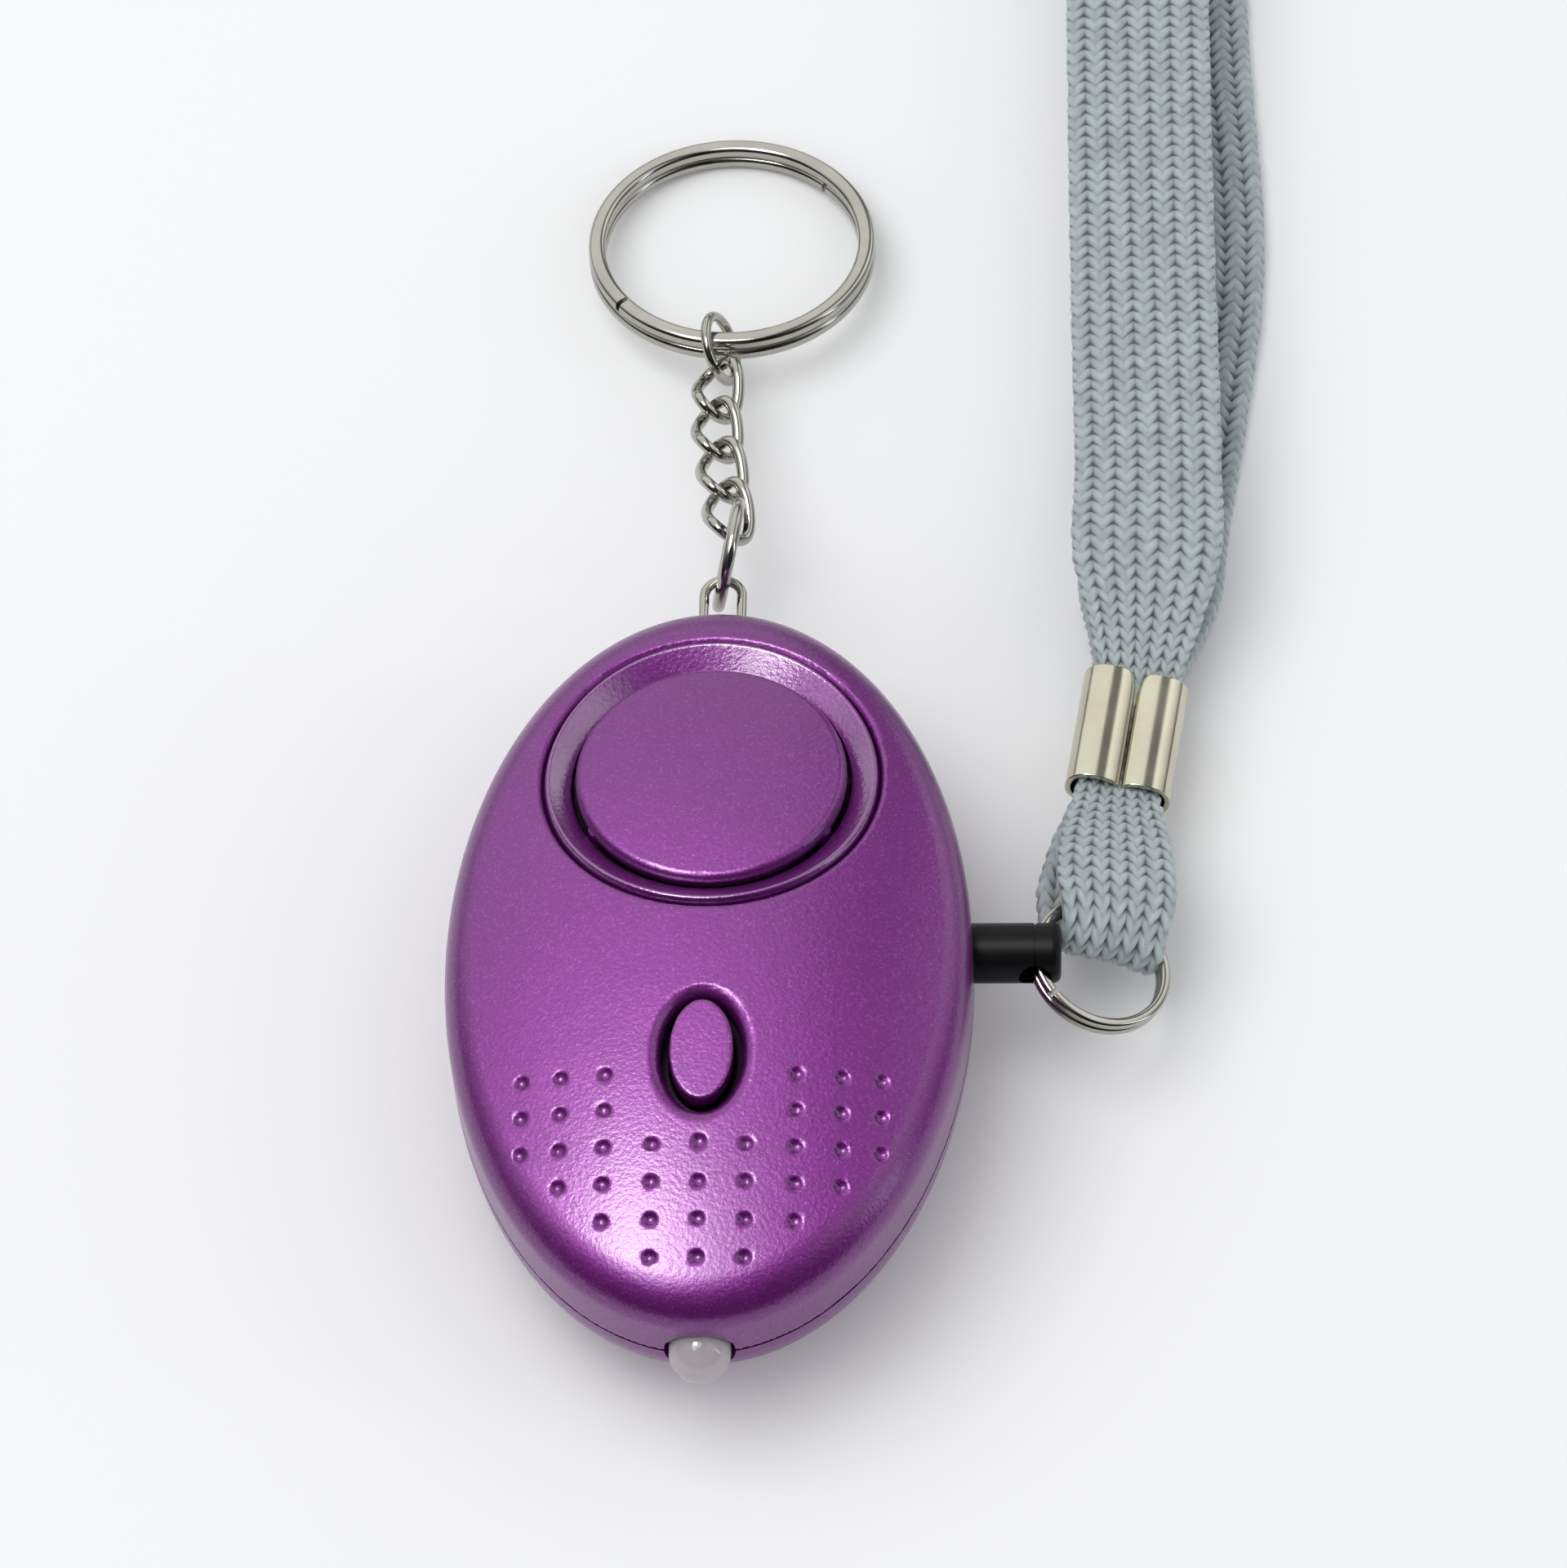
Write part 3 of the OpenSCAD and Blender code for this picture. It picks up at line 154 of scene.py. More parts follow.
# Curb links: thickening of the wire in metres, and the angle up to which triangles are joined
LINK_SWELL = 0.00003
QUAD_ANGLE = math.radians(60)

# Room seen in reflections, as places between 0 and 1 and brightness: walls by height, flag by side
ROOM_WALLS = ((0.0, 0.10), (0.20, 0.12), (0.45, 0.48), (0.75, 1.1), (1.0, 1.0))
ROOM_FLAG = ((0.0, 1.0), (0.18, 1.0), (0.24, 0.22), (0.45, 0.22), (0.53, 1.25), (1.0, 1.0))
FAR_ROOM = 1.15
SEEN_ROOM = 0.93
LAMP_DISTANCE = 0.8
STUDIO_CENTRE = (0.0, 0.01, 0.01)
# Boxes that show in reflections: name, direction, size in metres, share of the gleam's power
GLEAM_BOXES = (
    ("gleam_broad", (-0.17, -0.12, 0.98), (0.26, 0.50), 0.95),
    ("gleam_core", (-0.25, 0.03, 0.97), (0.21, 0.19), 1.7),
)

PLATE_ROUGHNESS = 0.13
# Usual lowest and highest value of a noise texture
NOISE_LOW, NOISE_HIGH = 0.3, 0.7

# CAD nodes that stay, by finish
NICKEL_NODES = ("bail", "body_jump_ring", "key_jump_ring", "case_screws", "board_screws")
STEEL_NODES = ("button_cell_1", "button_cell_2", "button_cell_3", "battery_spring",
               "battery_minus", "battery_plus", "lamp_leads", "switch_base")
BRASS_NODES = ("piezo_plate", "contact_leaf", "contact_post", "contact_finger")
BLACK_NODES = ("switch_plunger", "siren_chip", "drive_transistor", "boost_coil",
               "siren_wire_return")
# Finish, colour, roughness, nodes
METALS = (
    ("steel_finish", (0.62, 0.62, 0.62), 0.28, STEEL_NODES),
    ("brass_finish", (0.72, 0.55, 0.22), 0.25, BRASS_NODES),
)
PLASTICS = (
    ("black_plastic_finish", (0.012, 0.013, 0.015), 0.55, BLACK_NODES),
    ("rubber_finish", (0.02, 0.02, 0.02), 0.8, ("piezo_gasket",)),
    ("ceramic_finish", (0.75, 0.72, 0.62), 0.5, ("piezo_ceramic",)),
    ("board_finish", (0.03, 0.16, 0.07), 0.4, ("circuit_board",)),
    ("red_plastic_finish", (0.5, 0.02, 0.02), 0.45, ("siren_wire_live",)),
    ("white_plastic_finish", (0.75, 0.75, 0.72), 0.45, ("pin_guide",)),
)


class AlarmSizes(bpy.types.PropertyGroup):
    """Sizes of the dressed pieces and power of the lamps"""
    shell_voxel: bpy.props.FloatProperty(
        name="Shell grain", description="Mesh size of the upper shell's skin",
        default=0.00024, subtype="DISTANCE", unit="LENGTH")
    button_voxel: bpy.props.FloatProperty(
        name="Button grain", description="Mesh size of the push button",
        default=0.00013, subtype="DISTANCE", unit="LENGTH")
    rim_lip: bpy.props.FloatProperty(
        name="Rim lip", description="Rounding of the shell at the bezel",
        default=0.0005, subtype="DISTANCE", unit="LENGTH")
    button_lip: bpy.props.FloatProperty(
        name="Button lip", description="Rounding of the shell at the button hole",
        default=0.0011, subtype="DISTANCE", unit="LENGTH")
    braid_columns: bpy.props.IntProperty(
        name="Braid columns", description="Columns of chevrons across the strap", default=7)
    braid_pitch: bpy.props.FloatProperty(
        name="Braid pitch", description="Distance from chevron to chevron",
        default=0.0012, subtype="DISTANCE", unit="LENGTH")
    braid_relief: bpy.props.FloatProperty(
        name="Braid relief", description="Height of a strand",
        default=0.00042, subtype="DISTANCE", unit="LENGTH")
    strap_length: bpy.props.FloatProperty(
        name="Strap length", description="Length of the braid round its loop",
        default=0.352, subtype="DISTANCE", unit="LENGTH")
    crimp_wall: bpy.props.FloatProperty(
        name="Crimp wall", description="Sheet thickness of the crimp",
        default=0.0005, subtype="DISTANCE", unit="LENGTH")
    key_light: bpy.props.FloatProperty(
        name="Key light", description="Power of the large softbox in watts", default=4.2)
    gleam_light: bpy.props.FloatProperty(
        name="Gleam", description="Power of the overhead boxes that show in reflections, in watts",
        default=2.0)
    strip_light: bpy.props.FloatProperty(
        name="Strip light", description="Power of the strip on the right in watts", default=0.5)
    fill_light: bpy.props.FloatProperty(
        name="Fill light", description="Strength of the even white light", default=0.60)


class AlarmColours(bpy.types.PropertyGroup):
    """Colours of the finishes and of the studio"""
    paint: bpy.props.FloatVectorProperty(
        name="Paint", description="Purple metallic paint",
        default=(0.16, 0.0095, 0.184), subtype="COLOR", min=0, max=1)
    nickel: bpy.props.FloatVectorProperty(
        name="Nickel", description="Plated rings and links",
        default=(0.43, 0.42, 0.375), subtype="COLOR", min=0, max=1)
    crimp: bpy.props.FloatVectorProperty(
        name="Crimp", description="Warm plated crimp",
        default=(0.58, 0.555, 0.435), subtype="COLOR", min=0, max=1)
    braid: bpy.props.FloatVectorProperty(
        name="Braid", description="Grey braid",
        default=(0.39, 0.45, 0.465), subtype="COLOR", min=0, max=1)
    floor: bpy.props.FloatVectorProperty(
        name="Floor", description="Studio floor",
        default=(0.93, 0.935, 0.945), subtype="COLOR", min=0, max=1)


def sizes():
    return bpy.context.scene.alarm_sizes


def colours():
    return bpy.context.scene.alarm_colours


# Modelling helpers

def only(obj):
    """Selects one object and nothing else."""
    bpy.ops.object.select_all(action="DESELECT")
    obj.select_set(True)
    bpy.context.view_layer.objects.active = obj


def edit_all(obj, operator, **values):
    """Runs one edit mode operator on the whole mesh."""
    only(obj)
    bpy.ops.object.mode_set(mode="EDIT")
    bpy.ops.mesh.select_all(action="SELECT")
    operator(**values)
    bpy.ops.object.mode_set(mode="OBJECT")


def merged_copy(node, name):
    """A new object with a CAD node's mesh, its doubled corners merged."""
    obj = bpy.data.objects.new(name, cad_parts[node].data.copy())
    bpy.context.scene.collection.objects.link(obj)
    only(obj)
    bpy.ops.mesh.customdata_custom_splitnormals_clear()
    edit_all(obj, bpy.ops.mesh.remove_doubles, threshold=MERGE_DISTANCE)
    obj.data.materials.clear()
    return obj


def new_piece(name, verts, faces):
    """A new object with a mesh of the given points and faces."""
    mesh = bpy.data.meshes.new(name)
    mesh.from_pydata(verts, [], faces)
    obj = bpy.data.objects.new(name, mesh)
    bpy.context.scene.collection.objects.link(obj)
    return obj


def make_quads(obj):
    """Joins the triangles of a CAD mesh to quads where they are nearly flat."""
    edit_all(obj, bpy.ops.mesh.tris_convert_to_quads,
             face_threshold=QUAD_ANGLE, shape_threshold=QUAD_ANGLE)


def apply_modifier(obj, kind, **values):
    """Adds a modifier with the given values and applies it."""
    only(obj)
    mod = obj.modifiers.new(kind.title(), kind)
    for key, value in values.items():
        setattr(mod, key, value)
    bpy.ops.object.modifier_apply(modifier=mod.name)


def remesh(obj, voxel):
    """Rebuilds a closed mesh from even cells."""
    only(obj)
    obj.data.remesh_voxel_size = voxel
    bpy.ops.object.voxel_remesh()


def get_points(obj):
    co = np.zeros(len(obj.data.vertices) * 3)
    obj.data.vertices.foreach_get("co", co)
    return co.reshape(-1, 3)


def set_points(obj, co):
    obj.data.vertices.foreach_set("co", np.ascontiguousarray(co, dtype=np.float32).ravel())
    obj.data.update()


def mark_points(obj, name, values):
    """Stores one number at each point, for the material."""
    mark = obj.data.attributes.new(name, "FLOAT", "POINT")
    mark.data.foreach_set("value", values.astype(np.float32).ravel())


def smooth(obj, angle=None):
    """Shades a piece smooth, all over or up to an angle in degrees."""
    only(obj)
    if angle is None:
        bpy.ops.object.shade_smooth()
    else:
        bpy.ops.object.shade_smooth_by_angle(angle=math.radians(angle))


def set_material(mesh, material):
    mesh.materials.clear()
    mesh.materials.append(material)


def finish_piece(obj, material, body, slot, *nodes):
    """Dresses a new piece, rides it on its body and lets it stand for its CAD nodes."""
    set_material(obj.data, material)
    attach(obj, body)
    if nodes:
        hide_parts(*nodes)
    return obj


def dress(nodes, material):
    """Gives CAD nodes a material through their slots."""
    for name in nodes:
        set_material(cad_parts[name].data, material)


# Shader helpers

def link(tree, a, b):
    tree.links.new(a, b)


def node(tree, kind, at=(0, 0), **values):
    """A new node at a place, with values for its inputs or its own settings."""
    made = tree.nodes.new(kind)
    made.location = at
    for key, value in values.items():
        if key in made.inputs:
            made.inputs[key].default_value = value
        else:
            setattr(made, key, value)
    return made


def feed(tree, value, target):
    """Sets a socket to a number, or links another socket to it."""
    if isinstance(value, float):
        target.default_value = value
    else:
        link(tree, value, target)


def map_range(tree, at, value, start, end, low=0.0, high=1.0, kind="LINEAR"):
    """Maps a value from one range to another and holds it at both ends."""
    made = node(tree, "ShaderNodeMapRange", at, interpolation_type=kind)
    for name, number in (("From Min", start), ("From Max", end), ("To Min", low), ("To Max", high)):
        made.inputs[name].default_value = number
    link(tree, value, made.inputs["Value"])
    return made.outputs["Result"]


def multiply(tree, at, a, b):
    made = node(tree, "ShaderNodeMath", at, operation="MULTIPLY")
    feed(tree, a, made.inputs[0])
    feed(tree, b, made.inputs[1])
    return made.outputs["Value"]


def mix(tree, at, factor, a, b, **values):
    made = node(tree, "ShaderNodeMix", at, **values)
    for name, value in (("Factor", factor), ("A", a), ("B", b)):
        feed(tree, value, made.inputs[name])
    return made.outputs["Result"]


def ramp(tree, at, value, stops):
    """A colour ramp with its stops as places and colours."""
    made = node(tree, "ShaderNodeValToRGB", at)
    elements = made.color_ramp.elements
    for element, (place, colour) in zip((elements[0], elements[1]), (stops[0], stops[-1])):
        element.position, element.color = place, (*colour, 1.0)
    for place, colour in stops[1:-1]:
        elements.new(place).color = (*colour, 1.0)
    link(tree, value, made.inputs["Fac"])
    return made.outputs["Color"]


def greys(stops):
    return [(place, (level, level, level)) for place, level in stops]


def shade(colour, k):
    return tuple(min(1.0, c * k) for c in colour)


def grain_group():
    """Two sizes of noise for the tiny unevenness of a moulded, plated or painted surface."""
    found = bpy.data.node_groups.get("Surface grain")
    if found:
        return found
    group = bpy.data.node_groups.new("Surface grain", "ShaderNodeTree")
    for name, default in (("Fine", 4000.0), ("Broad", 120.0)):
        made = group.interface.new_socket(
            name=name, in_out="INPUT", socket_type="NodeSocketFloat")
        made.default_value = default
    for name in ("Fine height", "Broad value"):
        group.interface.new_socket(name=name, in_out="OUTPUT", socket_type="NodeSocketFloat")
    first = node(group, "NodeGroupInput", (-600, 0))
    last = node(group, "NodeGroupOutput", (300, 0))
    place = node(group, "ShaderNodeTexCoord", (-600, -200))
    fine = node(group, "ShaderNodeTexNoise", (-200, 100), Detail=2.0, Roughness=0.55)
    broad = node(group, "ShaderNodeTexNoise", (-200, -200), Detail=3.0, Roughness=0.6)
    for tex, name, result in ((fine, "Fine", "Fine height"), (broad, "Broad", "Broad value")):
        link(group, place.outputs["Object"], tex.inputs["Vector"])
        link(group, first.outputs[name], tex.inputs["Scale"])
        link(group, tex.outputs["Fac"], last.inputs[result])
    return group


def start_material(name, colour, roughness, metallic=0.0, **sockets):
    """A material with its constants on the shader's own sockets."""
    mat = bpy.data.materials.new(name)
    mat.use_nodes = True
    tree = mat.node_tree
    shader = tree.nodes["Principled BSDF"]
    shader.inputs["Base Color"].default_value = (*colour, 1.0)
    shader.inputs["Metallic"].default_value = metallic
    shader.inputs["Roughness"].default_value = roughness
    for key, value in sockets.items():
        shader.inputs[key.replace("_", " ")].default_value = value
    return mat, tree, shader


def add_bump(tree, shader, height, strength, depth):
    """Roughens the shader's normal by a height."""
    bump = node(tree, "ShaderNodeBump", (-300, -300), Strength=strength, Distance=depth)
    link(tree, height, bump.inputs["Height"])
    link(tree, bump.outputs["Normal"], shader.inputs["Normal"])
    return bump.outputs["Normal"]


def add_grain(tree, shader, fine, broad, rough, strength, depth):
    """Lets the shared grain drive roughness and a fine bump.

    Gives the grain's broad value and the bumped normal.
    """
    grain = node(tree, "ShaderNodeGroup", (-900, 0),
                 node_tree=grain_group(), Fine=fine, Broad=broad)
    value = grain.outputs["Broad value"]
    spread = map_range(tree, (-600, -100), value, NOISE_LOW, NOISE_HIGH, *rough)
    link(tree, spread, shader.inputs["Roughness"])
    normal = add_bump(tree, shader, grain.outputs["Fine height"], strength, depth)
    return value, normal


def tint(tree, shader, value, low, high):
    """Varies the base colour between two tones."""
    tone = ramp(tree, (-600, 250), value, ((NOISE_LOW, low), (NOISE_HIGH, high)))
    link(tree, tone, shader.inputs["Base Color"])


# Materials

def paint_material(name="purple_paint_finish", coat=0.8, ior=1.62, haze=0.25):
    """Satin metallic paint: fine bright flakes in a deep ground under a hazy clear coat.

    The walls of a deep gap are painted dark, by the depth stored at each point: painted shade in
    the gap, and unpainted plastic without its coat.
    """
    found = bpy.data.materials.get(name)
    if found:
        return found
    colour = tuple(colours().paint)
    mat, tree, shader = start_material(
        name, colour, 0.50, metallic=0.85, Coat_IOR=ior, Coat_Roughness=haze)
    normal = add_grain(tree, shader, fine=2900.0, broad=90.0, rough=(0.46, 0.56),
                       strength=0.5, depth=0.00006)[1]
    link(tree, normal, shader.inputs["Coat Normal"])
    place = node(tree, "ShaderNodeTexCoord", (-1300, 400))
    flakes = node(tree, "ShaderNodeTexVoronoi", (-1100, 400), Scale=7000.0)
    link(tree, place.outputs["Object"], flakes.inputs["Vector"])
    split = node(tree, "ShaderNodeSeparateColor", (-900, 400))
    link(tree, flakes.outputs["Color"], split.inputs["Color"])
    glint = tuple(min(1.0, c * 1.25 + 0.02) for c in colour)
    tone = ramp(tree, (-600, 250), split.outputs["Red"],
                ((0.1, shade(colour, 0.86)), (0.88, shade(colour, 1.14)), (0.97, glint)))
    deep = node(tree, "ShaderNodeAttribute", (-900, 700), attribute_name="depth")
    # Painted shade: deeper than 0.9 mm below the dome, the colour and the coat fade to near black.
    # This stands for the shade in the gap and for unpainted plastic.
    gap_shade_and_unpainted = map_range(tree, (-600, 700), deep.outputs["Fac"], start=0.9, end=1.6,
                     low=1.0, high=0.05, kind="SMOOTHSTEP")
    mixed = mix(tree, (-200, 500), 1.0, tone, gap_shade_and_unpainted, data_type="RGBA", blend_type="MULTIPLY")
    link(tree, mixed, shader.inputs["Base Color"])
    link(tree, multiply(tree, (-200, 800), gap_shade_and_unpainted, coat), shader.inputs["Coat Weight"])
    return mat


def metal_material(name, colour, roughness):
    """Plated or unplated metal with faint polishing marks."""
    found = bpy.data.materials.get(name)
    if found:
        return found
    mat, tree, shader = start_material(name, colour, roughness, metallic=1.0)
    value = add_grain(tree, shader, fine=3000.0, broad=220.0,
                      rough=(roughness * 0.75, roughness * 1.3), strength=0.25, depth=0.000004)[0]
    tint(tree, shader, value, shade(colour, 0.90), shade(colour, 1.06))
    return mat


def plastic_material(name, colour, roughness, depth=0.00001, fine=3500.0, **sockets):
    """Moulded plastic, rubber or ceramic with a fine moulded grain."""
    found = bpy.data.materials.get(name)
    if found:
        return found
    mat, tree, shader = start_material(name, colour, roughness, **sockets)
    rough = (roughness * 0.85, min(1.0, roughness * 1.15))
    value = add_grain(tree, shader, fine=fine, broad=150.0, rough=rough,
                      strength=0.3, depth=depth)[0]
    tint(tree, shader, value, shade(colour, 0.88), shade(colour, 1.08))
    return mat


def nickel_material():
    """Bright plate of the rings, the links and the screws."""
    return metal_material("nickel_finish", tuple(colours().nickel), PLATE_ROUGHNESS)


def resin_material():
    """Clear cast resin of the lamp."""
    found = bpy.data.materials.get("clear_resin_finish")
    if found:
        return found
    mat, tree, shader = start_material(
        "clear_resin_finish", (0.93, 0.86, 0.91), 0.07, Transmission_Weight=0.62, IOR=1.5)
    add_grain(tree, shader, fine=900.0, broad=200.0, rough=(0.04, 0.10),
              strength=0.1, depth=0.00001)
    return mat


def braid_material():
    """Grey braid with painted shade: darker in the gaps and lighter on the strands' tops, by the
    height stored at each point, with fine yarn grain.
    """
    found = bpy.data.materials.get("grey_braid_finish")
    if found:
        return found
    colour = tuple(colours().braid)
    mat, tree, shader = start_material(
        "grey_braid_finish", colour, 0.85, Sheen_Weight=0.25, Sheen_Roughness=0.5)
    gap = node(tree, "ShaderNodeAttribute", (-1300, 300), attribute_name="strand")
    grain = node(tree, "ShaderNodeGroup", (-1300, 0),
                 node_tree=grain_group(), Fine=9000.0, Broad=900.0)
    # Painted shade: the stored strand height darkens the gaps and lightens the tops.
    tone = ramp(tree, (-600, 250), gap.outputs["Fac"],
                [(place, shade(colour, k)) for place, k in STRAND_SHADE_TONES])
    vary = ramp(tree, (-600, 550), grain.outputs["Broad value"],
                greys(((0.25, 0.80), (0.75, 1.0))))
    mixed = mix(tree, (-250, 250), 1.0, tone, vary, data_type="RGBA", blend_type="MULTIPLY")
    link(tree, mixed, shader.inputs["Base Color"])
    add_bump(tree, shader, grain.outputs["Fine height"], strength=0.6, depth=0.00006)
    return mat


# Camera

class ALARM_OT_camera(bpy.types.Operator):
    """Places the camera where the photograph was taken"""
    bl_idname = "alarm.camera"
    bl_label = "Camera"

    def execute(self, context):
        azimuth, elevation, roll = (math.radians(a) for a in (5.021, 56.953, -4.518))
        distance, focal, height = 0.669242, 9774.336, 1920
        aim = Vector((5.214, 23.158, 5.0)) * MM
        back = Vector((math.sin(azimuth) * math.cos(elevation),
                       -math.cos(azimuth) * math.cos(elevation), math.sin(elevation)))
        level_right = Vector((math.cos(azimuth), math.sin(azimuth), 0))
        level_up = back.cross(level_right)
        right = level_right * math.cos(roll) + level_up * math.sin(roll)
        up = -level_right * math.sin(roll) + level_up * math.cos(roll)
        data = bpy.data.cameras.new("alarm_camera")
        data.sensor_fit = "AUTO"
        data.sensor_width = 36.0
        data.lens = focal / height * data.sensor_width
        data.clip_start, data.clip_end = 0.01, 20.0
        camera = bpy.data.objects.new("alarm_camera", data)
        bpy.context.scene.collection.objects.link(camera)
        axes = Matrix((right, up, back)).transposed().to_4x4()
        camera.matrix_world = Matrix.Translation(aim + back * distance) @ axes
        bpy.context.scene.camera = camera
        return {"FINISHED"}


# Wrist strap

def route_table():
    """The strap's route as a fine table against length, round the closed loop."""
    pts = np.array(ROUTE, float)
    n = len(pts)
    seg = np.linalg.norm(np.roll(pts[:, :3], -1, 0) - pts[:, :3], axis=1)
    knots = np.concatenate([[0], np.cumsum(seg)])
    before, after = np.roll(seg, 1)[:, None], seg[:, None]
    ahead, behind = np.roll(pts, -1, 0) - pts, pts - np.roll(pts, 1, 0)
    slope = (ahead / after * before + behind / before * after) / (before + after)
    fine = np.linspace(0, knots[-1], ROUTE_SAMPLES + 1)[:-1]
    i = np.clip(np.searchsorted(knots, fine, side="right") - 1, 0, n - 1)
    h = seg[i][:, None]
    t = ((fine - knots[i]) / seg[i])[:, None]
    j = (i + 1) % n
    out = ((2 * t**3 - 3 * t**2 + 1) * pts[i] + (t**3 - 2 * t**2 + t) * h * slope[i]
           + (3 * t**2 - 2 * t**3) * pts[j] + (t**3 - t**2) * h * slope[j])
    closed = np.vstack([out, out[:1]])
    steps = np.linalg.norm(np.diff(closed[:, :3], axis=0), axis=1)
    return np.concatenate([[0], np.cumsum(steps)]), closed


def route_at(table, s, columns):
    """The first columns of the route at the lengths s."""
    length, closed = table
    return np.stack([np.interp(s, length, closed[:, k]) for k in range(columns)], axis=-1)


def strap_axes(table, s, roll):
    """Unit vectors across the strap and out of its upper face at the lengths s."""
    total = table[0][-1]
    ahead = route_at(table, (s + TANGENT_STEP) % total, 3)
    behind = route_at(table, (s - TANGENT_STEP) % total, 3)
    t = ahead - behind
    t /= np.linalg.norm(t, axis=-1, keepdims=True)
    w = np.stack([np.cos(roll), np.zeros_like(roll), -np.sin(roll)], axis=-1)
    w -= t * np.sum(w * t, axis=-1, keepdims=True)
    w /= np.linalg.norm(w, axis=-1, keepdims=True)
    return w, np.cross(w, t)


def jitter(a, b, seed):
    """An even scatter between -1 and 1 for whole numbers a and b."""
    v = np.sin(a * 12.9898 + b * 78.233 + seed * 37.719) * 43758.5453
    return (v - np.floor(v)) * 2 - 1


def strand_height(row, wave, strand, arm):
    """Height of the strands, which lie close and part in a hole at the seam of two columns."""
    ridge = np.array(STRAND_RIDGE)[row % ROWS_PER_STRAND]
    body = np.interp(wave, COLUMN_PLACES, COLUMN_BODY)
    part = np.interp(wave, COLUMN_PLACES, COLUMN_PARTING)
    swell = 1 + STRAND_SWELL * jitter(strand, arm, 2.0)
    return body * swell * (1 - part * (1 - ridge))


def tube_faces(rows, m):
    """Quads of a tube of closed rows with m points each, closed into a loop."""
    r, c = np.arange(rows)[:, None], np.arange(m)[None, :]
    next_r, next_c = (r + 1) % rows, (c + 1) % m
    faces = np.stack([r * m + c, r * m + next_c, next_r * m + next_c, next_r * m + c], axis=-1)
    return faces.reshape(-1, 4).tolist()


class ALARM_OT_strap(bpy.types.Operator):
    """Plaits the flat braid round its loop, every strand as relief in the mesh"""
    bl_idname = "alarm.strap"
    bl_label = "Wrist strap"

    def execute(self, context):
        pitch, relief = sizes().braid_pitch / MM, sizes().braid_relief / MM
        columns = sizes().braid_columns
        table = route_table()
        total = table[0][-1]
        rows = int(round(total / pitch)) * ROWS_PER_STRAND
        row = np.arange(rows)[:, None]
        # Columns keep their width round the section, so the outer ones turn over the edges
        face = np.linspace(-1, 1, columns * CELLS_PER_COLUMN + 1)
        across = np.concatenate([face, face[-2:0:-1]])[None, :]
        top = np.concatenate([np.ones(len(face)), -np.ones(len(face) - 2)])[None, :]
        place = (across + 1) / 2 * columns
        wave = np.abs(place % 1 - 0.5) * 2
        arm = np.floor(place * 2) + np.where(top > 0, 0, LOWER_ARMS)
        strand = np.floor(row / ROWS_PER_STRAND)
        lean = STRAND_LEAN * pitch
        shift = STRAND_SCATTER * pitch * jitter(strand, arm, 1.0)
        s = (row * total / rows + lean * (1 - wave) + shift) % total
        route = route_at(table, s, 7)
        w, up = strap_axes(table, s, np.radians(route[..., 5]))
        radius = route[..., 4] / 2 - relief * RELIEF_INSET
        straight = route[..., 3] / 2 - radius - relief * RELIEF_INSET
        reach = across * (straight + radius * math.pi / 2)
        turn = np.clip((np.abs(reach) - straight) / radius, 0, math.pi / 2)
        out_w, out_up = np.sign(reach) * np.sin(turn), top * np.cos(turn)
        height = strand_height(row, wave, strand, arm)
        lift = radius + (height - RELIEF_LEVEL) * relief
        crown = STRAP_CROWN * (1 - across**2) * top
        side = np.clip(reach, -straight, straight) + out_w * lift
        p = route[..., :3] + w * side[..., None] + up * (out_up * lift + crown)[..., None]
        p[..., 1] -= route[..., 6] * np.clip(across, 0, 1) ** 2
        p[..., 2] = np.maximum(p[..., 2], FLOOR_CLEARANCE)
        verts = (p * MM).reshape(-1, 3).tolist()
        obj = new_piece("wrist_strap_braid", verts, tube_faces(rows, across.size))
        # The strand height, stored at each point, drives the braid's painted shade.
        mark_points(obj, "strand", np.clip(height / TALLEST_STRAND, 0, 1))
        edit_all(obj, bpy.ops.mesh.normals_make_consistent, inside=False)
        smooth(obj)
        finish_piece(obj, braid_material(), "strap", "grey_braid", "wrist_strap")
        return {"FINISHED"}


# Crimp

